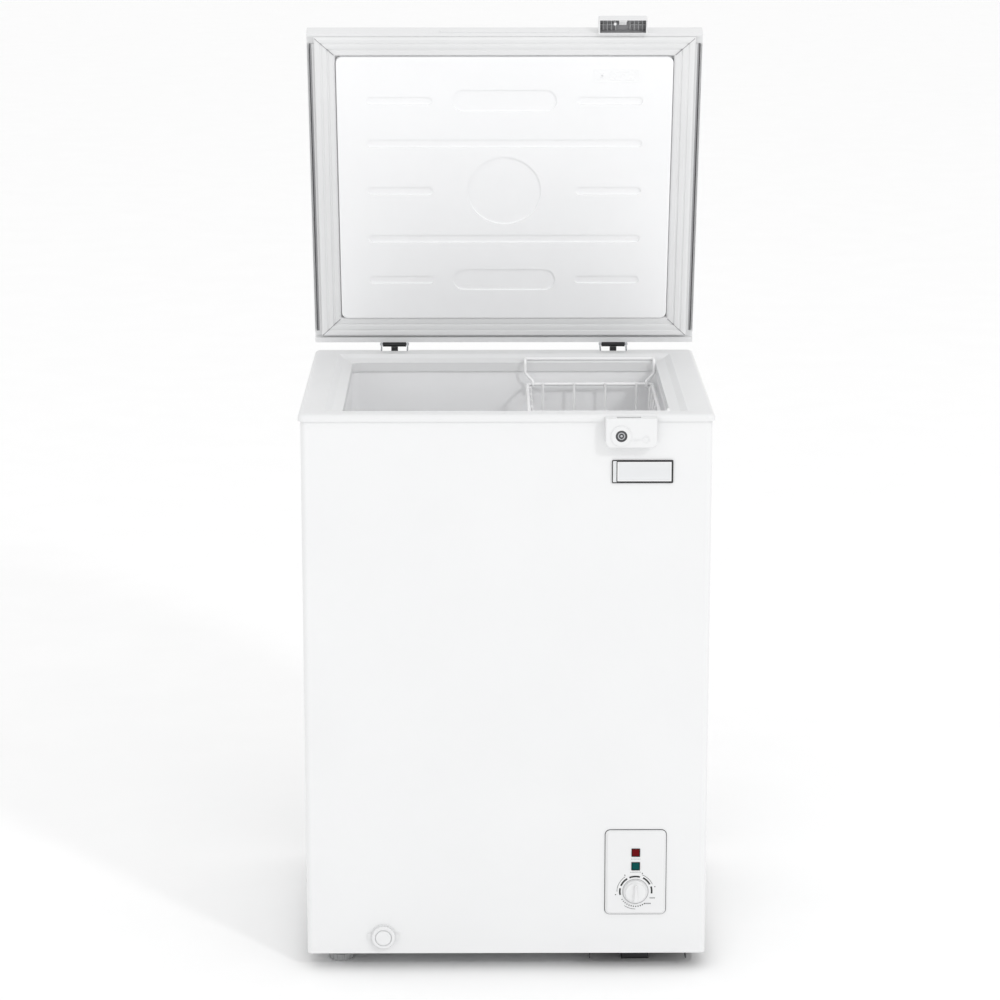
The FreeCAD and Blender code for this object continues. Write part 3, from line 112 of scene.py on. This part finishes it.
LOOKS = {
    "white_enamel": dict(colour=(0.76, 0.764, 0.768), rough=0.34, spread=0.012, coat=0.25),
    # dark_steel is near black as painted shade: it darkens the hinge leaves to stand in for the shade inside the
    # hinge channel
    "dark_steel": dict(colour=(0.05, 0.05, 0.053), rough=0.4, metal=0.7, spread=0.2),
    "white_plastic": dict(colour=(0.74, 0.744, 0.748), rough=0.42, spread=0.015, bump=0.08),
    "liner_plastic": dict(colour=(0.89, 0.893, 0.9), rough=0.42, spread=0.015, bump=0.06),
    "grey_steel": dict(colour=(0.5, 0.51, 0.52), rough=0.38, metal=0.9, spread=0.14, grain=40, stretch=(1, 1, 0.2)),
    "foam": dict(colour=(0.8, 0.7, 0.42), rough=0.9, spread=0.12, grain=120, bump=0.6, bump_grain=400),
    "coil_metal": dict(colour=(0.62, 0.63, 0.64), rough=0.35, metal=1.0, spread=0.1),
    "coil_steel": dict(colour=(0.3, 0.28, 0.26), rough=0.45, metal=0.9, spread=0.2),
    "black_steel": dict(colour=(0.018, 0.018, 0.02), rough=0.3, spread=0.25, bump=0.12),
    "motor_iron": dict(colour=(0.16, 0.16, 0.16), rough=0.65, metal=0.8, spread=0.25, bump=0.4),
    "black_rubber": dict(colour=(0.02, 0.02, 0.02), rough=0.75, spread=0.2, bump=0.25),
    "black_plastic": dict(colour=(0.025, 0.025, 0.028), rough=0.5, spread=0.2, bump=0.2, bump_grain=1600),
    "copper": dict(colour=(0.6, 0.28, 0.17), rough=0.28, metal=1.0, spread=0.25, grain=90),
    "zinc": dict(colour=(0.52, 0.53, 0.55), rough=0.34, metal=0.95, spread=0.12, grain=120),
    "red_lens": dict(colour=(0.13, 0.001, 0.003), rough=0.4, spread=0.12, specular=0.08),
    "green_lens": dict(colour=(0.001, 0.07, 0.066), rough=0.4, spread=0.12, specular=0.08),
    "grey_plastic": dict(colour=(0.38, 0.385, 0.39), rough=0.5, spread=0.08, bump=0.15),
    "badge_silver": dict(colour=(0.72, 0.73, 0.74), rough=0.34, metal=0.55, spread=0.05, stretch=(0.08, 1, 1), grain=300),
    "lock_metal": dict(colour=(0.1, 0.1, 0.105), rough=0.4, metal=0.8, spread=0.2),
    "grey_rubber": dict(colour=(0.42, 0.42, 0.42), rough=0.7, spread=0.08, bump=0.2),
    "gasket": dict(colour=(0.74, 0.743, 0.747), rough=0.55, bump=0.1),
    "wire_coating": dict(colour=(0.9, 0.9, 0.905), rough=0.3, spread=0.02, coat=0.3),
}
finishes = {slot: material(slot, **look) for slot, look in LOOKS.items()}
ink = material("ink", (0.012, 0.012, 0.013), 0.55, spread=0.3, bump=0.1)
ink_grey = material("ink_grey", (0.32, 0.32, 0.33), 0.6, spread=0.15, bump=0.1)
shade_gap = material("shade_gap", (0.05, 0.05, 0.055), 0.8, spread=0.2, bump=0.2)

slots = {part["node"]: part["material_slot"] for part in frame["record"]["subparts"]}
for name, node in frame["nodes"].items():
    node.data.materials.clear()
    node.data.materials.append(finishes[slots[name]])


# places: a, b and c of a shape become a point on the cabinet, in front of its face, or on the closed lid

def on_cabinet(x, y, z):
    return Vector((x * MM, (y + SHIFT_Y) * MM, z * MM))


def on_front(x, z, out):
    return on_cabinet(x, -FACE_Y - out, z)


def on_lid(x, y, z):
    return LID_TURN @ Vector((x * MM, (y + AXIS_Y) * MM, (z + AXIS_Z) * MM))


# outlines: lists of (a, b) points

def rect(a0, b0, a1, b1):
    return [(a0, b0), (a1, b0), (a1, b1), (a0, b1)]


def dash(x, z, half_wide, half_tall):
    return rect(x - half_wide, z - half_tall, x + half_wide, z + half_tall)


def round_box(x, z, wide, tall, radius, steps=6):
    points = []
    for sx, sz, start in ((1, 1, 0), (-1, 1, 90), (-1, -1, 180), (1, -1, 270)):
        for k in range(steps + 1):
            angle = math.radians(start + 90 * k / steps)
            points.append((x + sx * (wide / 2 - radius) + radius * math.cos(angle),
                           z + sz * (tall / 2 - radius) + radius * math.sin(angle)))
    return points


def circle(x, z, radius, steps=48):
    return [(x + radius * math.cos(2 * math.pi * k / steps), z + radius * math.sin(2 * math.pi * k / steps))
            for k in range(steps)]


def arc_band(x, z, radius, width, start, end, steps=14):
    """The outline of a thick arc."""
    angles = [math.radians(start + (end - start) * k / steps) for k in range(steps + 1)]
    outer = [(x + (radius + width / 2) * math.cos(a), z + (radius + width / 2) * math.sin(a)) for a in angles]
    inner = [(x + (radius - width / 2) * math.cos(a), z + (radius - width / 2) * math.sin(a)) for a in angles]
    return outer + inner[::-1]


# solids: (verts, faces)

def joined(parts):
    """Several (verts, faces) lists as one."""
    verts, faces = [], []
    for part_verts, part_faces in parts:
        start = len(verts)
        verts += part_verts
        faces += [tuple(start + i for i in face) for face in part_faces]
    return verts, faces


def prism(outline, low, high, place):
    """A flat outline given a thickness from low to high."""
    n = len(outline)
    verts = [place(a, b, c) for c in (low, high) for a, b in outline]
    faces = [tuple(range(n)), tuple(range(2 * n - 1, n - 1, -1))]
    faces += [(i, (i + 1) % n, n + (i + 1) % n, n + i) for i in range(n)]
    return verts, faces


def frame_prism(outer, inner, low, high, place):
    """A closed band between two outlines with the same number of points."""
    n = len(outer)
    verts = [place(a, b, c) for c in (low, high) for loop in (outer, inner) for a, b in loop]
    faces = []
    for i in range(n):
        j = (i + 1) % n
        faces += [(i, j, n + j, n + i), (2 * n + i, 3 * n + i, 3 * n + j, 2 * n + j),
                  (i, 2 * n + i, 2 * n + j, j), (n + i, n + j, 3 * n + j, 3 * n + i)]
    return verts, faces


def band(x, z, radius, width, low, high, place):
    return frame_prism(circle(x, z, radius + width / 2), circle(x, z, radius - width / 2), low, high, place)


def ribs_round(x, z, count, half_angle, inner, outer, low, high, place):
    """Ribs set round a circle, each narrower at its outer end."""
    w = math.radians(half_angle)
    ribs = []
    for k in range(count):
        a = 2 * math.pi * k / count
        corners = ((inner, a - w), (outer, a - w * 0.7), (outer, a + w * 0.7), (inner, a + w))
        ribs.append(prism([(x + r * math.cos(t), z + r * math.sin(t)) for r, t in corners], low, high, place))
    return joined(ribs)


def turned(profile, x, z, steps=72):
    """A solid turned about the front-to-back line through (x, z); profile is (radius, out)."""
    verts = [on_front(x + r * math.cos(2 * math.pi * k / steps), z + r * math.sin(2 * math.pi * k / steps), out)
             for r, out in profile for k in range(steps)]
    faces = [(row * steps + k, row * steps + (k + 1) % steps, (row + 1) * steps + (k + 1) % steps,
              (row + 1) * steps + k) for row in range(len(profile) - 1) for k in range(steps)]
    faces += [tuple(range(steps)), tuple(range((len(profile) - 1) * steps, len(profile) * steps))]
    return verts, faces


def add(name, verts, faces, mat, body, slot, bevel=0.0):
    """A detail piece that rides a body; bevel rounds its edges."""
    mesh = bpy.data.meshes.new(name)
    mesh.from_pydata([tuple(v) for v in verts], [], faces)
    mesh.validate()
    mesh.materials.append(mat)
    for face in mesh.polygons:
        face.use_smooth = False
    obj = bpy.data.objects.new(name, mesh)
    bpy.context.scene.collection.objects.link(obj)
    bpy.context.view_layer.objects.active = obj
    obj.select_set(True)
    bpy.ops.object.mode_set(mode="EDIT")
    bpy.ops.mesh.select_all(action="SELECT")
    bpy.ops.mesh.normals_make_consistent(inside=False)
    bpy.ops.object.mode_set(mode="OBJECT")
    obj.select_set(False)
    if bevel:
        soften = obj.modifiers.new("soften", "BEVEL")
        soften.width = bevel * MM
        soften.segments = 2
        soften.limit_method = "ANGLE"
        soften.angle_limit = math.radians(40)
    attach(obj, body)
    return obj


# control panel: seam, lamp frames, printed scale and the knob

PANEL_X, PANEL_Z = 176.0, 139.0
PANEL_OUT = 5.0                      # the panel's own thickness
KNOB_Z, RED_Z, GREEN_Z = 112.7, 168.3, 148.8
PRINT = (PANEL_OUT - 0.02, PANEL_OUT + 0.1)      # printed marks, a thin layer in the surface
SEAM_OUTER, SEAM_INNER = (84.2, 121.8, 7.4), (82.5, 120.1, 6.5)
LAMP_OUTER, LAMP_INNER = (11.8, 11.8, 0.8), (10.0, 10.0, 0.4)
MARK_GAP = 1.9
MARK_ROWS = ((RED_Z - 9.3, 7), (GREEN_Z - 8.6, 8))             # height, count
BOLD_WIDE, THIN_WIDE = 2.3, 0.55
BOLD_ARCS = ((158, 122, 21.3), (113, 74, 21.3), (62, 27, 21.8), (18, -8, 22.2), (194, 168, 21.3))
THIN_ARCS = ((181, 124, 25.2), (70, 24, 25.2), (234, 270, 25.4))
DOT_R = 21.6
DIGIT_R, DIGIT_ANGLES = 27.4, (190, 122, 70, 14)
WORDS = ((20, -9.5, 0.4), (14.5, -17.5, 0.45))                 # right of the knob, above it, half a dash
WORD_GAP = 1.5

add("panel_seam", *frame_prism(round_box(PANEL_X, PANEL_Z, *SEAM_OUTER), round_box(PANEL_X, PANEL_Z, *SEAM_INNER),
                               0.02, 0.5, on_front), shade_gap, "cabinet", "black_plastic")
for word, z in (("red", RED_Z), ("green", GREEN_Z)):
    add(f"lamp_frame_{word}",
        *frame_prism(round_box(PANEL_X, z, *LAMP_OUTER), round_box(PANEL_X, z, *LAMP_INNER),
                     PANEL_OUT - 0.05, PANEL_OUT + 0.9, on_front), ink, "cabinet", "black_plastic", bevel=0.2)
add("print_lamp_marks",
    *joined([prism(dash(PANEL_X + (k - (count - 1) / 2) * MARK_GAP, z, 0.6, 0.5), *PRINT, on_front)
             for z, count in MARK_ROWS for k in range(count)]), ink_grey, "cabinet", "grey_plastic")
add("print_bold_arcs",
    *joined([prism(arc_band(PANEL_X, KNOB_Z, r, BOLD_WIDE, a, b), *PRINT, on_front) for a, b, r in BOLD_ARCS]),
    ink, "cabinet", "black_plastic")

scale = [prism(arc_band(PANEL_X, KNOB_Z, r, THIN_WIDE, a, b), *PRINT, on_front) for a, b, r in THIN_ARCS]
for k in range(12):
    angle = math.radians(213 + k * 8.4)
    x, z = PANEL_X + DOT_R * math.cos(angle), KNOB_Z + DOT_R * math.sin(angle)
    scale.append(prism(circle(x, z, 0.75 + 0.02 * k, 10), *PRINT, on_front))
for k in range(5):
    for right, up, half in WORDS:
        scale.append(prism(dash(PANEL_X + right + WORD_GAP * k, KNOB_Z + up, half, 0.8), *PRINT, on_front))
for angle in DIGIT_ANGLES:
    x = PANEL_X + DIGIT_R * math.cos(math.radians(angle))
    z = KNOB_Z + DIGIT_R * math.sin(math.radians(angle))
    scale.append(prism(circle(x, z, 0.8, 10), *PRINT, on_front))
add("print_scale", *joined(scale), ink, "cabinet", "black_plastic")
# painted shade: a thin grey ring on the panel face stands in for the shade round the rim of the knob's well
add("knob_well_shade", *band(PANEL_X, KNOB_Z, 17.5, 0.7, *PRINT, on_front), ink_grey, "cabinet", "grey_plastic")

DIAL = ((15.9, 0.5), (15.9, 2.6), (15.3, 3.4), (14.2, 4.2), (13.8, 6.4), (13.2, 7.2), (1.0, 7.4))
GRIP_FOOT = ((-2.0, 12.6), (2.0, 12.6), (3.4, 0), (5.6, -12.2), (-5.6, -12.2), (-3.4, 0))
GRIP_TOP = ((-0.7, 12.2), (0.7, 12.2), (1.0, 0), (1.8, -11.6), (-1.8, -11.6), (-1.0, 0))
GRIP_OUT = (PANEL_OUT + 7.0, PANEL_OUT + 12.2)
SHAFT_R, SHAFT_BACK = 3.0, -14.5

dial = turned([(r, PANEL_OUT + out) for r, out in DIAL], PANEL_X, KNOB_Z)
grip = ([on_front(PANEL_X + a, KNOB_Z + b, out) for loop, out in zip((GRIP_FOOT, GRIP_TOP), GRIP_OUT)
         for a, b in loop],
        [tuple(range(6)), tuple(range(11, 5, -1))] + [(i, (i + 1) % 6, 6 + (i + 1) % 6, 6 + i) for i in range(6)])
knob = add("knob_shaped", *joined([dial, grip]), finishes["white_plastic"], "knob", "white_plastic", bevel=0.35)
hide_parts("thermostat_knob")
add("knob_shaft", *turned([(SHAFT_R, SHAFT_BACK), (SHAFT_R, PANEL_OUT + 1.0)], PANEL_X, KNOB_Z, 32),
    finishes["zinc"], "knob", "white_plastic")


# badge: blank, with a black ring of painted shade for its bevelled edge and a dark line round a white border

BADGE_X, BADGE_Z = 180.2, 698.0
BORDER_X = BADGE_X + 2.4
BADGE_RINGS = (
    # painted shade: the black outer ring stands in for the shaded bevel round the badge
    ("badge_edge", BADGE_X, (81.0, 31.0, 1.4), (78.6, 28.6, 0.8), (0.05, 1.9), ink, "black_plastic", 0),
    ("badge_line", BORDER_X, (73.8, 28.4, 0.8), (71.8, 26.4, 0.6), (0.2, 1.8), ink, "black_plastic", 0),
    ("badge_border", BORDER_X, (71.8, 26.4, 0.6), (68.0, 22.6, 0.6), (0.2, 1.7), finishes["white_enamel"],
     "white_enamel", 0.2),
)
for name, x, outer, inner, heights, mat, slot, bevel in BADGE_RINGS:
    add(name, *frame_prism(round_box(x, BADGE_Z, *outer), round_box(x, BADGE_Z, *inner), *heights, on_front),
        mat, "cabinet", slot, bevel=bevel)


# lock: cylinder rings and a plain key in relief

LOCK_X, LOCK_Z, LOCK_OUT = 151.0, 749.7, 20.0
KEY_RELIEF = (LOCK_OUT - 0.1, LOCK_OUT + 0.7)
KEY_PARTS = ((15.5, -3.9, 28.4, -5.1), (17, -5.1, 18.6, -7.6), (20.4, -5.1, 22, -6.8))     # stem and two teeth

add("lock_ring", *band(LOCK_X, LOCK_Z, 7.1, 1.1, LOCK_OUT + 0.6, LOCK_OUT + 1.1, on_front), finishes["lock_metal"],
    "cabinet", "lock_metal", bevel=0.2)
add("lock_inner_ring", *band(LOCK_X, LOCK_Z, 4.2, 1.2, LOCK_OUT - 0.3, LOCK_OUT + 0.1, on_front), finishes["zinc"],
    "lock", "lock_metal", bevel=0.15)
add("lock_core", *turned([(1.5, LOCK_OUT - 0.9), (1.5, LOCK_OUT + 0.1), (1.1, LOCK_OUT + 0.3)], LOCK_X, LOCK_Z, 24),
    finishes["zinc"], "lock", "lock_metal")
add("lock_boss_ring", *band(LOCK_X, LOCK_Z, 13.4, 1.0, LOCK_OUT + 0.4, LOCK_OUT + 1.2, on_front),
    finishes["white_plastic"], "cabinet", "white_plastic", bevel=0.3)
key_shape = [band(LOCK_X + 33, LOCK_Z - 4.5, 4.2, 1.3, *KEY_RELIEF, on_front)]
key_shape += [prism(rect(LOCK_X + a0, LOCK_Z + b0, LOCK_X + a1, LOCK_Z + b1), *KEY_RELIEF, on_front)
              for a0, b0, a1, b1 in KEY_PARTS]
add("lock_key_relief", *joined(key_shape), finishes["white_plastic"], "cabinet", "white_plastic", bevel=0.2)


# grip ribs: round the drain plug and round each levelling foot

DRAIN_X, DRAIN_Z = -168.0, 46.6
FOOT_X, FOOT_IN = -228.0, 44.5       # the feet stand this far in from the front and the back

add("drain_flutes", *ribs_round(DRAIN_X, DRAIN_Z, 28, 3.4, 15.7, 16.5, 3.9, 6.6, on_front),
    finishes["white_plastic"], "drain_cap", "white_plastic")
for word, y in (("front", -FACE_Y + FOOT_IN), ("rear", FACE_Y - FOOT_IN)):
    add(f"foot_ribs_{word}", *ribs_round(FOOT_X, y, 16, 6.6, 15.8, 17.6, 0.8, 9.6, on_cabinet),
        finishes["grey_plastic"], f"foot_{word}", "grey_plastic")


# lid seal: a ribbed profile swept round four mitred corners, with a weld line in each

SEAL_INNER = (236.2, -452.7, -45.8)  # half width, front, back
SEAL_OUTER = (265.7, -480.7, -16.3)
SEAL_PROFILE = ((0, 2.9), (0, -3.0), (0.03, -5.0), (0.1, -5.9), (0.28, -6.1), (0.31, -5.2), (0.38, -5.2),
                (0.41, -6.5), (0.5, -6.7), (0.6, -6.7), (0.63, -5.9), (0.7, -5.9), (0.73, -6.7), (0.88, -6.7),
                (0.96, -6.0), (1, -4.2), (1, 2.9))             # share of the way out, height
WELD_HALF, WELD_HEIGHTS = 0.45, (-6.85, -5.0)
WELD_START, WELD_END = 2, 1.5        # gaps to the seal's inner and outer corners

verts, faces = [], []
for share, z in SEAL_PROFILE:
    x, y0, y1 = [inner + (outer - inner) * share for inner, outer in zip(SEAL_INNER, SEAL_OUTER)]
    verts += [on_lid(-x, y0, z), on_lid(x, y0, z), on_lid(x, y1, z), on_lid(-x, y1, z)]
rows = len(SEAL_PROFILE)
for row in range(rows):
    after = (row + 1) % rows
    faces += [(row * 4 + k, row * 4 + (k + 1) % 4, after * 4 + (k + 1) % 4, after * 4 + k) for k in range(4)]
seal = add("gasket_ribbed", verts, faces, finishes["gasket"], "lid", "gasket")
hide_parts("lid_gasket")

welds = []
for sx in (-1, 1):
    for inner_y, outer_y in zip(SEAL_INNER[1:], SEAL_OUTER[1:]):
        a = (sx * (SEAL_INNER[0] + WELD_START), inner_y + math.copysign(WELD_START, outer_y - inner_y))
        b = (sx * (SEAL_OUTER[0] - WELD_END), outer_y - math.copysign(WELD_END, outer_y - inner_y))
        n = Vector((b[1] - a[1], a[0] - b[0])).normalized() * WELD_HALF
        outline = [(a[0] - n.x, a[1] - n.y), (b[0] - n.x, b[1] - n.y), (b[0] + n.x, b[1] + n.y),
                   (a[0] + n.x, a[1] + n.y)]
        welds.append(prism(outline, *WELD_HEIGHTS, on_lid))
add("gasket_welds", *joined(welds), ink_grey, "lid", "gasket")


# lid sides: a near-black line of painted shadow at the outer edge, a grey strip of painted shade over the shaded
# groove, and a lip between the seal and the steel skin

SIDE_FRONT, SIDE_BACK, SIDE_TOP = -468.6, -21.9, 2.9


def lid_sides(near, far, low):
    """The same strip along both sides of the lid."""
    return joined([prism(rect(sx * near, SIDE_FRONT, sx * far, SIDE_BACK), low, SIDE_TOP, on_lid)
                   for sx in (-1, 1)])


# painted shadow: a near-black line along each side of the lid where the edge of the steel skin throws its shadow
add("lid_side_edge_shadow", *lid_sides(271.5, 272.6, 1.0), shade_gap, "lid", "black_plastic")
# painted shade: a grey strip stands in for the shade in the groove between the lip and the steel skin
add("lid_side_groove_shade", *lid_sides(268.9, 271.4, 1.4), ink_grey, "lid", "grey_plastic")
add("lid_side_lips", *lid_sides(266.2, 268.9, 1.4), finishes["gasket"], "lid", "gasket")


# freezer mark on the lid's inner panel: a frame, a smaller frame with three rings, and a star

MARK_X, MARK_Y = 156.5, -425.0
MARK_TOP, FRAME_LOW, SIGN_LOW = -8.9, -9.55, -9.5
STAR_X, STAR_R, STAR_HALF = MARK_X - 20.5, 5.4, 0.6

mark = [frame_prism(round_box(MARK_X, MARK_Y, 63, 20, 3), round_box(MARK_X, MARK_Y, 61, 18, 2.2),
                    FRAME_LOW, MARK_TOP, on_lid),
        frame_prism(round_box(MARK_X + 9, MARK_Y, 38, 13, 3), round_box(MARK_X + 9, MARK_Y, 36.4, 11.4, 2.4),
                    SIGN_LOW, MARK_TOP, on_lid)]
mark += [band(MARK_X + dx, MARK_Y, 3.3, 1.0, SIGN_LOW, MARK_TOP, on_lid) for dx in (-2.5, 9, 20.5)]
for k in range(3):
    c, s = STAR_R * math.cos(math.pi * k / 3), STAR_R * math.sin(math.pi * k / 3)
    nx, ny = -s / STAR_R * STAR_HALF, c / STAR_R * STAR_HALF
    outline = [(STAR_X - c - nx, MARK_Y - s - ny), (STAR_X + c - nx, MARK_Y + s - ny),
               (STAR_X + c + nx, MARK_Y + s + ny), (STAR_X - c + nx, MARK_Y - s + ny)]
    mark.append(prism(outline, SIGN_LOW, MARK_TOP, on_lid))
add("cold_mark", *joined(mark), finishes["liner_plastic"], "lid", "liner_plastic")


# catch: grey sheets of painted shade inside its hollow, ribs and a white striker inside the hollow

CATCH_LEFT, CATCH_RIGHT = 132.1, 195.9
CATCH_FRONT, CATCH_BACK = -506.4, -487.9
CATCH_ROOF = 4.6
# extent of the grey sheets of painted shade on the walls of the catch's hollow
HOLLOW_SHADE_LOW, HOLLOW_SHADE_TOP, HOLLOW_SHADE_THICK = -6.5, 4.9, 0.25
RIB_FRONT, RIB_BACK, RIB_THICK = -504.5, -488.6, 1.2
LEFT_RIBS, RIGHT_RIBS = (136.0, 141.8, 147.6, 153.4), (173.4, 179.2, 185.0, 190.8)
CROSS_RIBS = ((132.4, 154.6), (173.4, 195.6))

# painted shade: grey sheets on the roof, back and sides of the hollow stand in for the shade inside the catch
hollow_shade = [prism(rect(CATCH_LEFT, CATCH_FRONT, CATCH_RIGHT, CATCH_BACK), CATCH_ROOF, 4.95, on_lid)]
hollow_shade += [prism(rect(*corners), HOLLOW_SHADE_LOW, HOLLOW_SHADE_TOP, on_lid) for corners in (
    (CATCH_LEFT, -488.1, CATCH_RIGHT, -487.85),
    (CATCH_LEFT, CATCH_FRONT, CATCH_LEFT + HOLLOW_SHADE_THICK, CATCH_BACK),
    (CATCH_RIGHT - HOLLOW_SHADE_THICK, CATCH_FRONT, CATCH_RIGHT, CATCH_BACK))]
add("catch_hollow_shade", *joined(hollow_shade), ink_grey, "lid", "grey_plastic")
ribs = [prism(rect(x, RIB_FRONT, x + RIB_THICK, RIB_BACK), low, CATCH_ROOF, on_lid)
        for row, low in ((LEFT_RIBS, 0.6), (RIGHT_RIBS, 0.8)) for x in row]
ribs += [prism(rect(x0, -497.2, x1, -496.2), 1.6, CATCH_ROOF, on_lid) for x0, x1 in CROSS_RIBS]
add("catch_ribs", *joined(ribs), finishes["grey_plastic"], "lid", "grey_plastic")
add("catch_striker", *prism(rect(158.8, -503.4, 169.2, -496.6), 0.2, CATCH_ROOF, on_lid),
    finishes["white_plastic"], "lid", "white_plastic", bevel=0.5)


# camera, light and floor

CAMERA_PLACE = (-0.03387, -4.37874, 1.61252)
CAMERA_TILT, CAMERA_TURN = 90 - 13.0, -0.351         # degrees
CAMERA_LENS = 115.02
FLOOR_HALF = 30                      # m


def lamp(name, place, aim, size, power):
    light = bpy.data.lights.new(name, "AREA")
    light.shape = "DISK"
    light.size = size
    light.energy = power
    obj = bpy.data.objects.new(name, light)
    obj.location = place
    obj.rotation_euler = (Vector(aim) - Vector(place)).to_track_quat("-Z", "Y").to_euler()
    bpy.context.scene.collection.objects.link(obj)


camera = bpy.data.objects.new("camera", bpy.data.cameras.new("camera"))
bpy.context.scene.collection.objects.link(camera)
camera.location = CAMERA_PLACE
camera.rotation_euler = (math.radians(CAMERA_TILT), 0, math.radians(CAMERA_TURN))
camera.data.lens = CAMERA_LENS
camera.data.sensor_width = 36
camera.data.clip_end = 100
bpy.context.scene.camera = camera

bpy.context.scene.view_settings.view_transform = "Standard"
world = bpy.data.worlds.new("studio")
world.use_nodes = True
background = world.node_tree.nodes["Background"]
background.inputs["Color"].default_value = (1.0, 1.0, 1.0, 1)
background.inputs["Strength"].default_value = 1.0
bpy.context.scene.world = world
lamp("key", (3.2, -4.6, 4.1), (0, 0, 0.6), 0.65, 66)
lamp("front", (-1.2, -4.4, 0.6), (0, 0, 1.0), 1.6, 12)

floor_material = material("floor", (0.975, 0.975, 0.975), 0.7, spread=0.01, bump=0.02)
floor_mesh = bpy.data.meshes.new("floor")
floor_mesh.from_pydata([(x, y, 0) for x, y in rect(-FLOOR_HALF, -FLOOR_HALF, FLOOR_HALF, FLOOR_HALF)], [],
                       [(0, 1, 2, 3)])
floor_mesh.materials.append(floor_material)
floor = bpy.data.objects.new("floor", floor_mesh)
bpy.context.scene.collection.objects.link(floor)
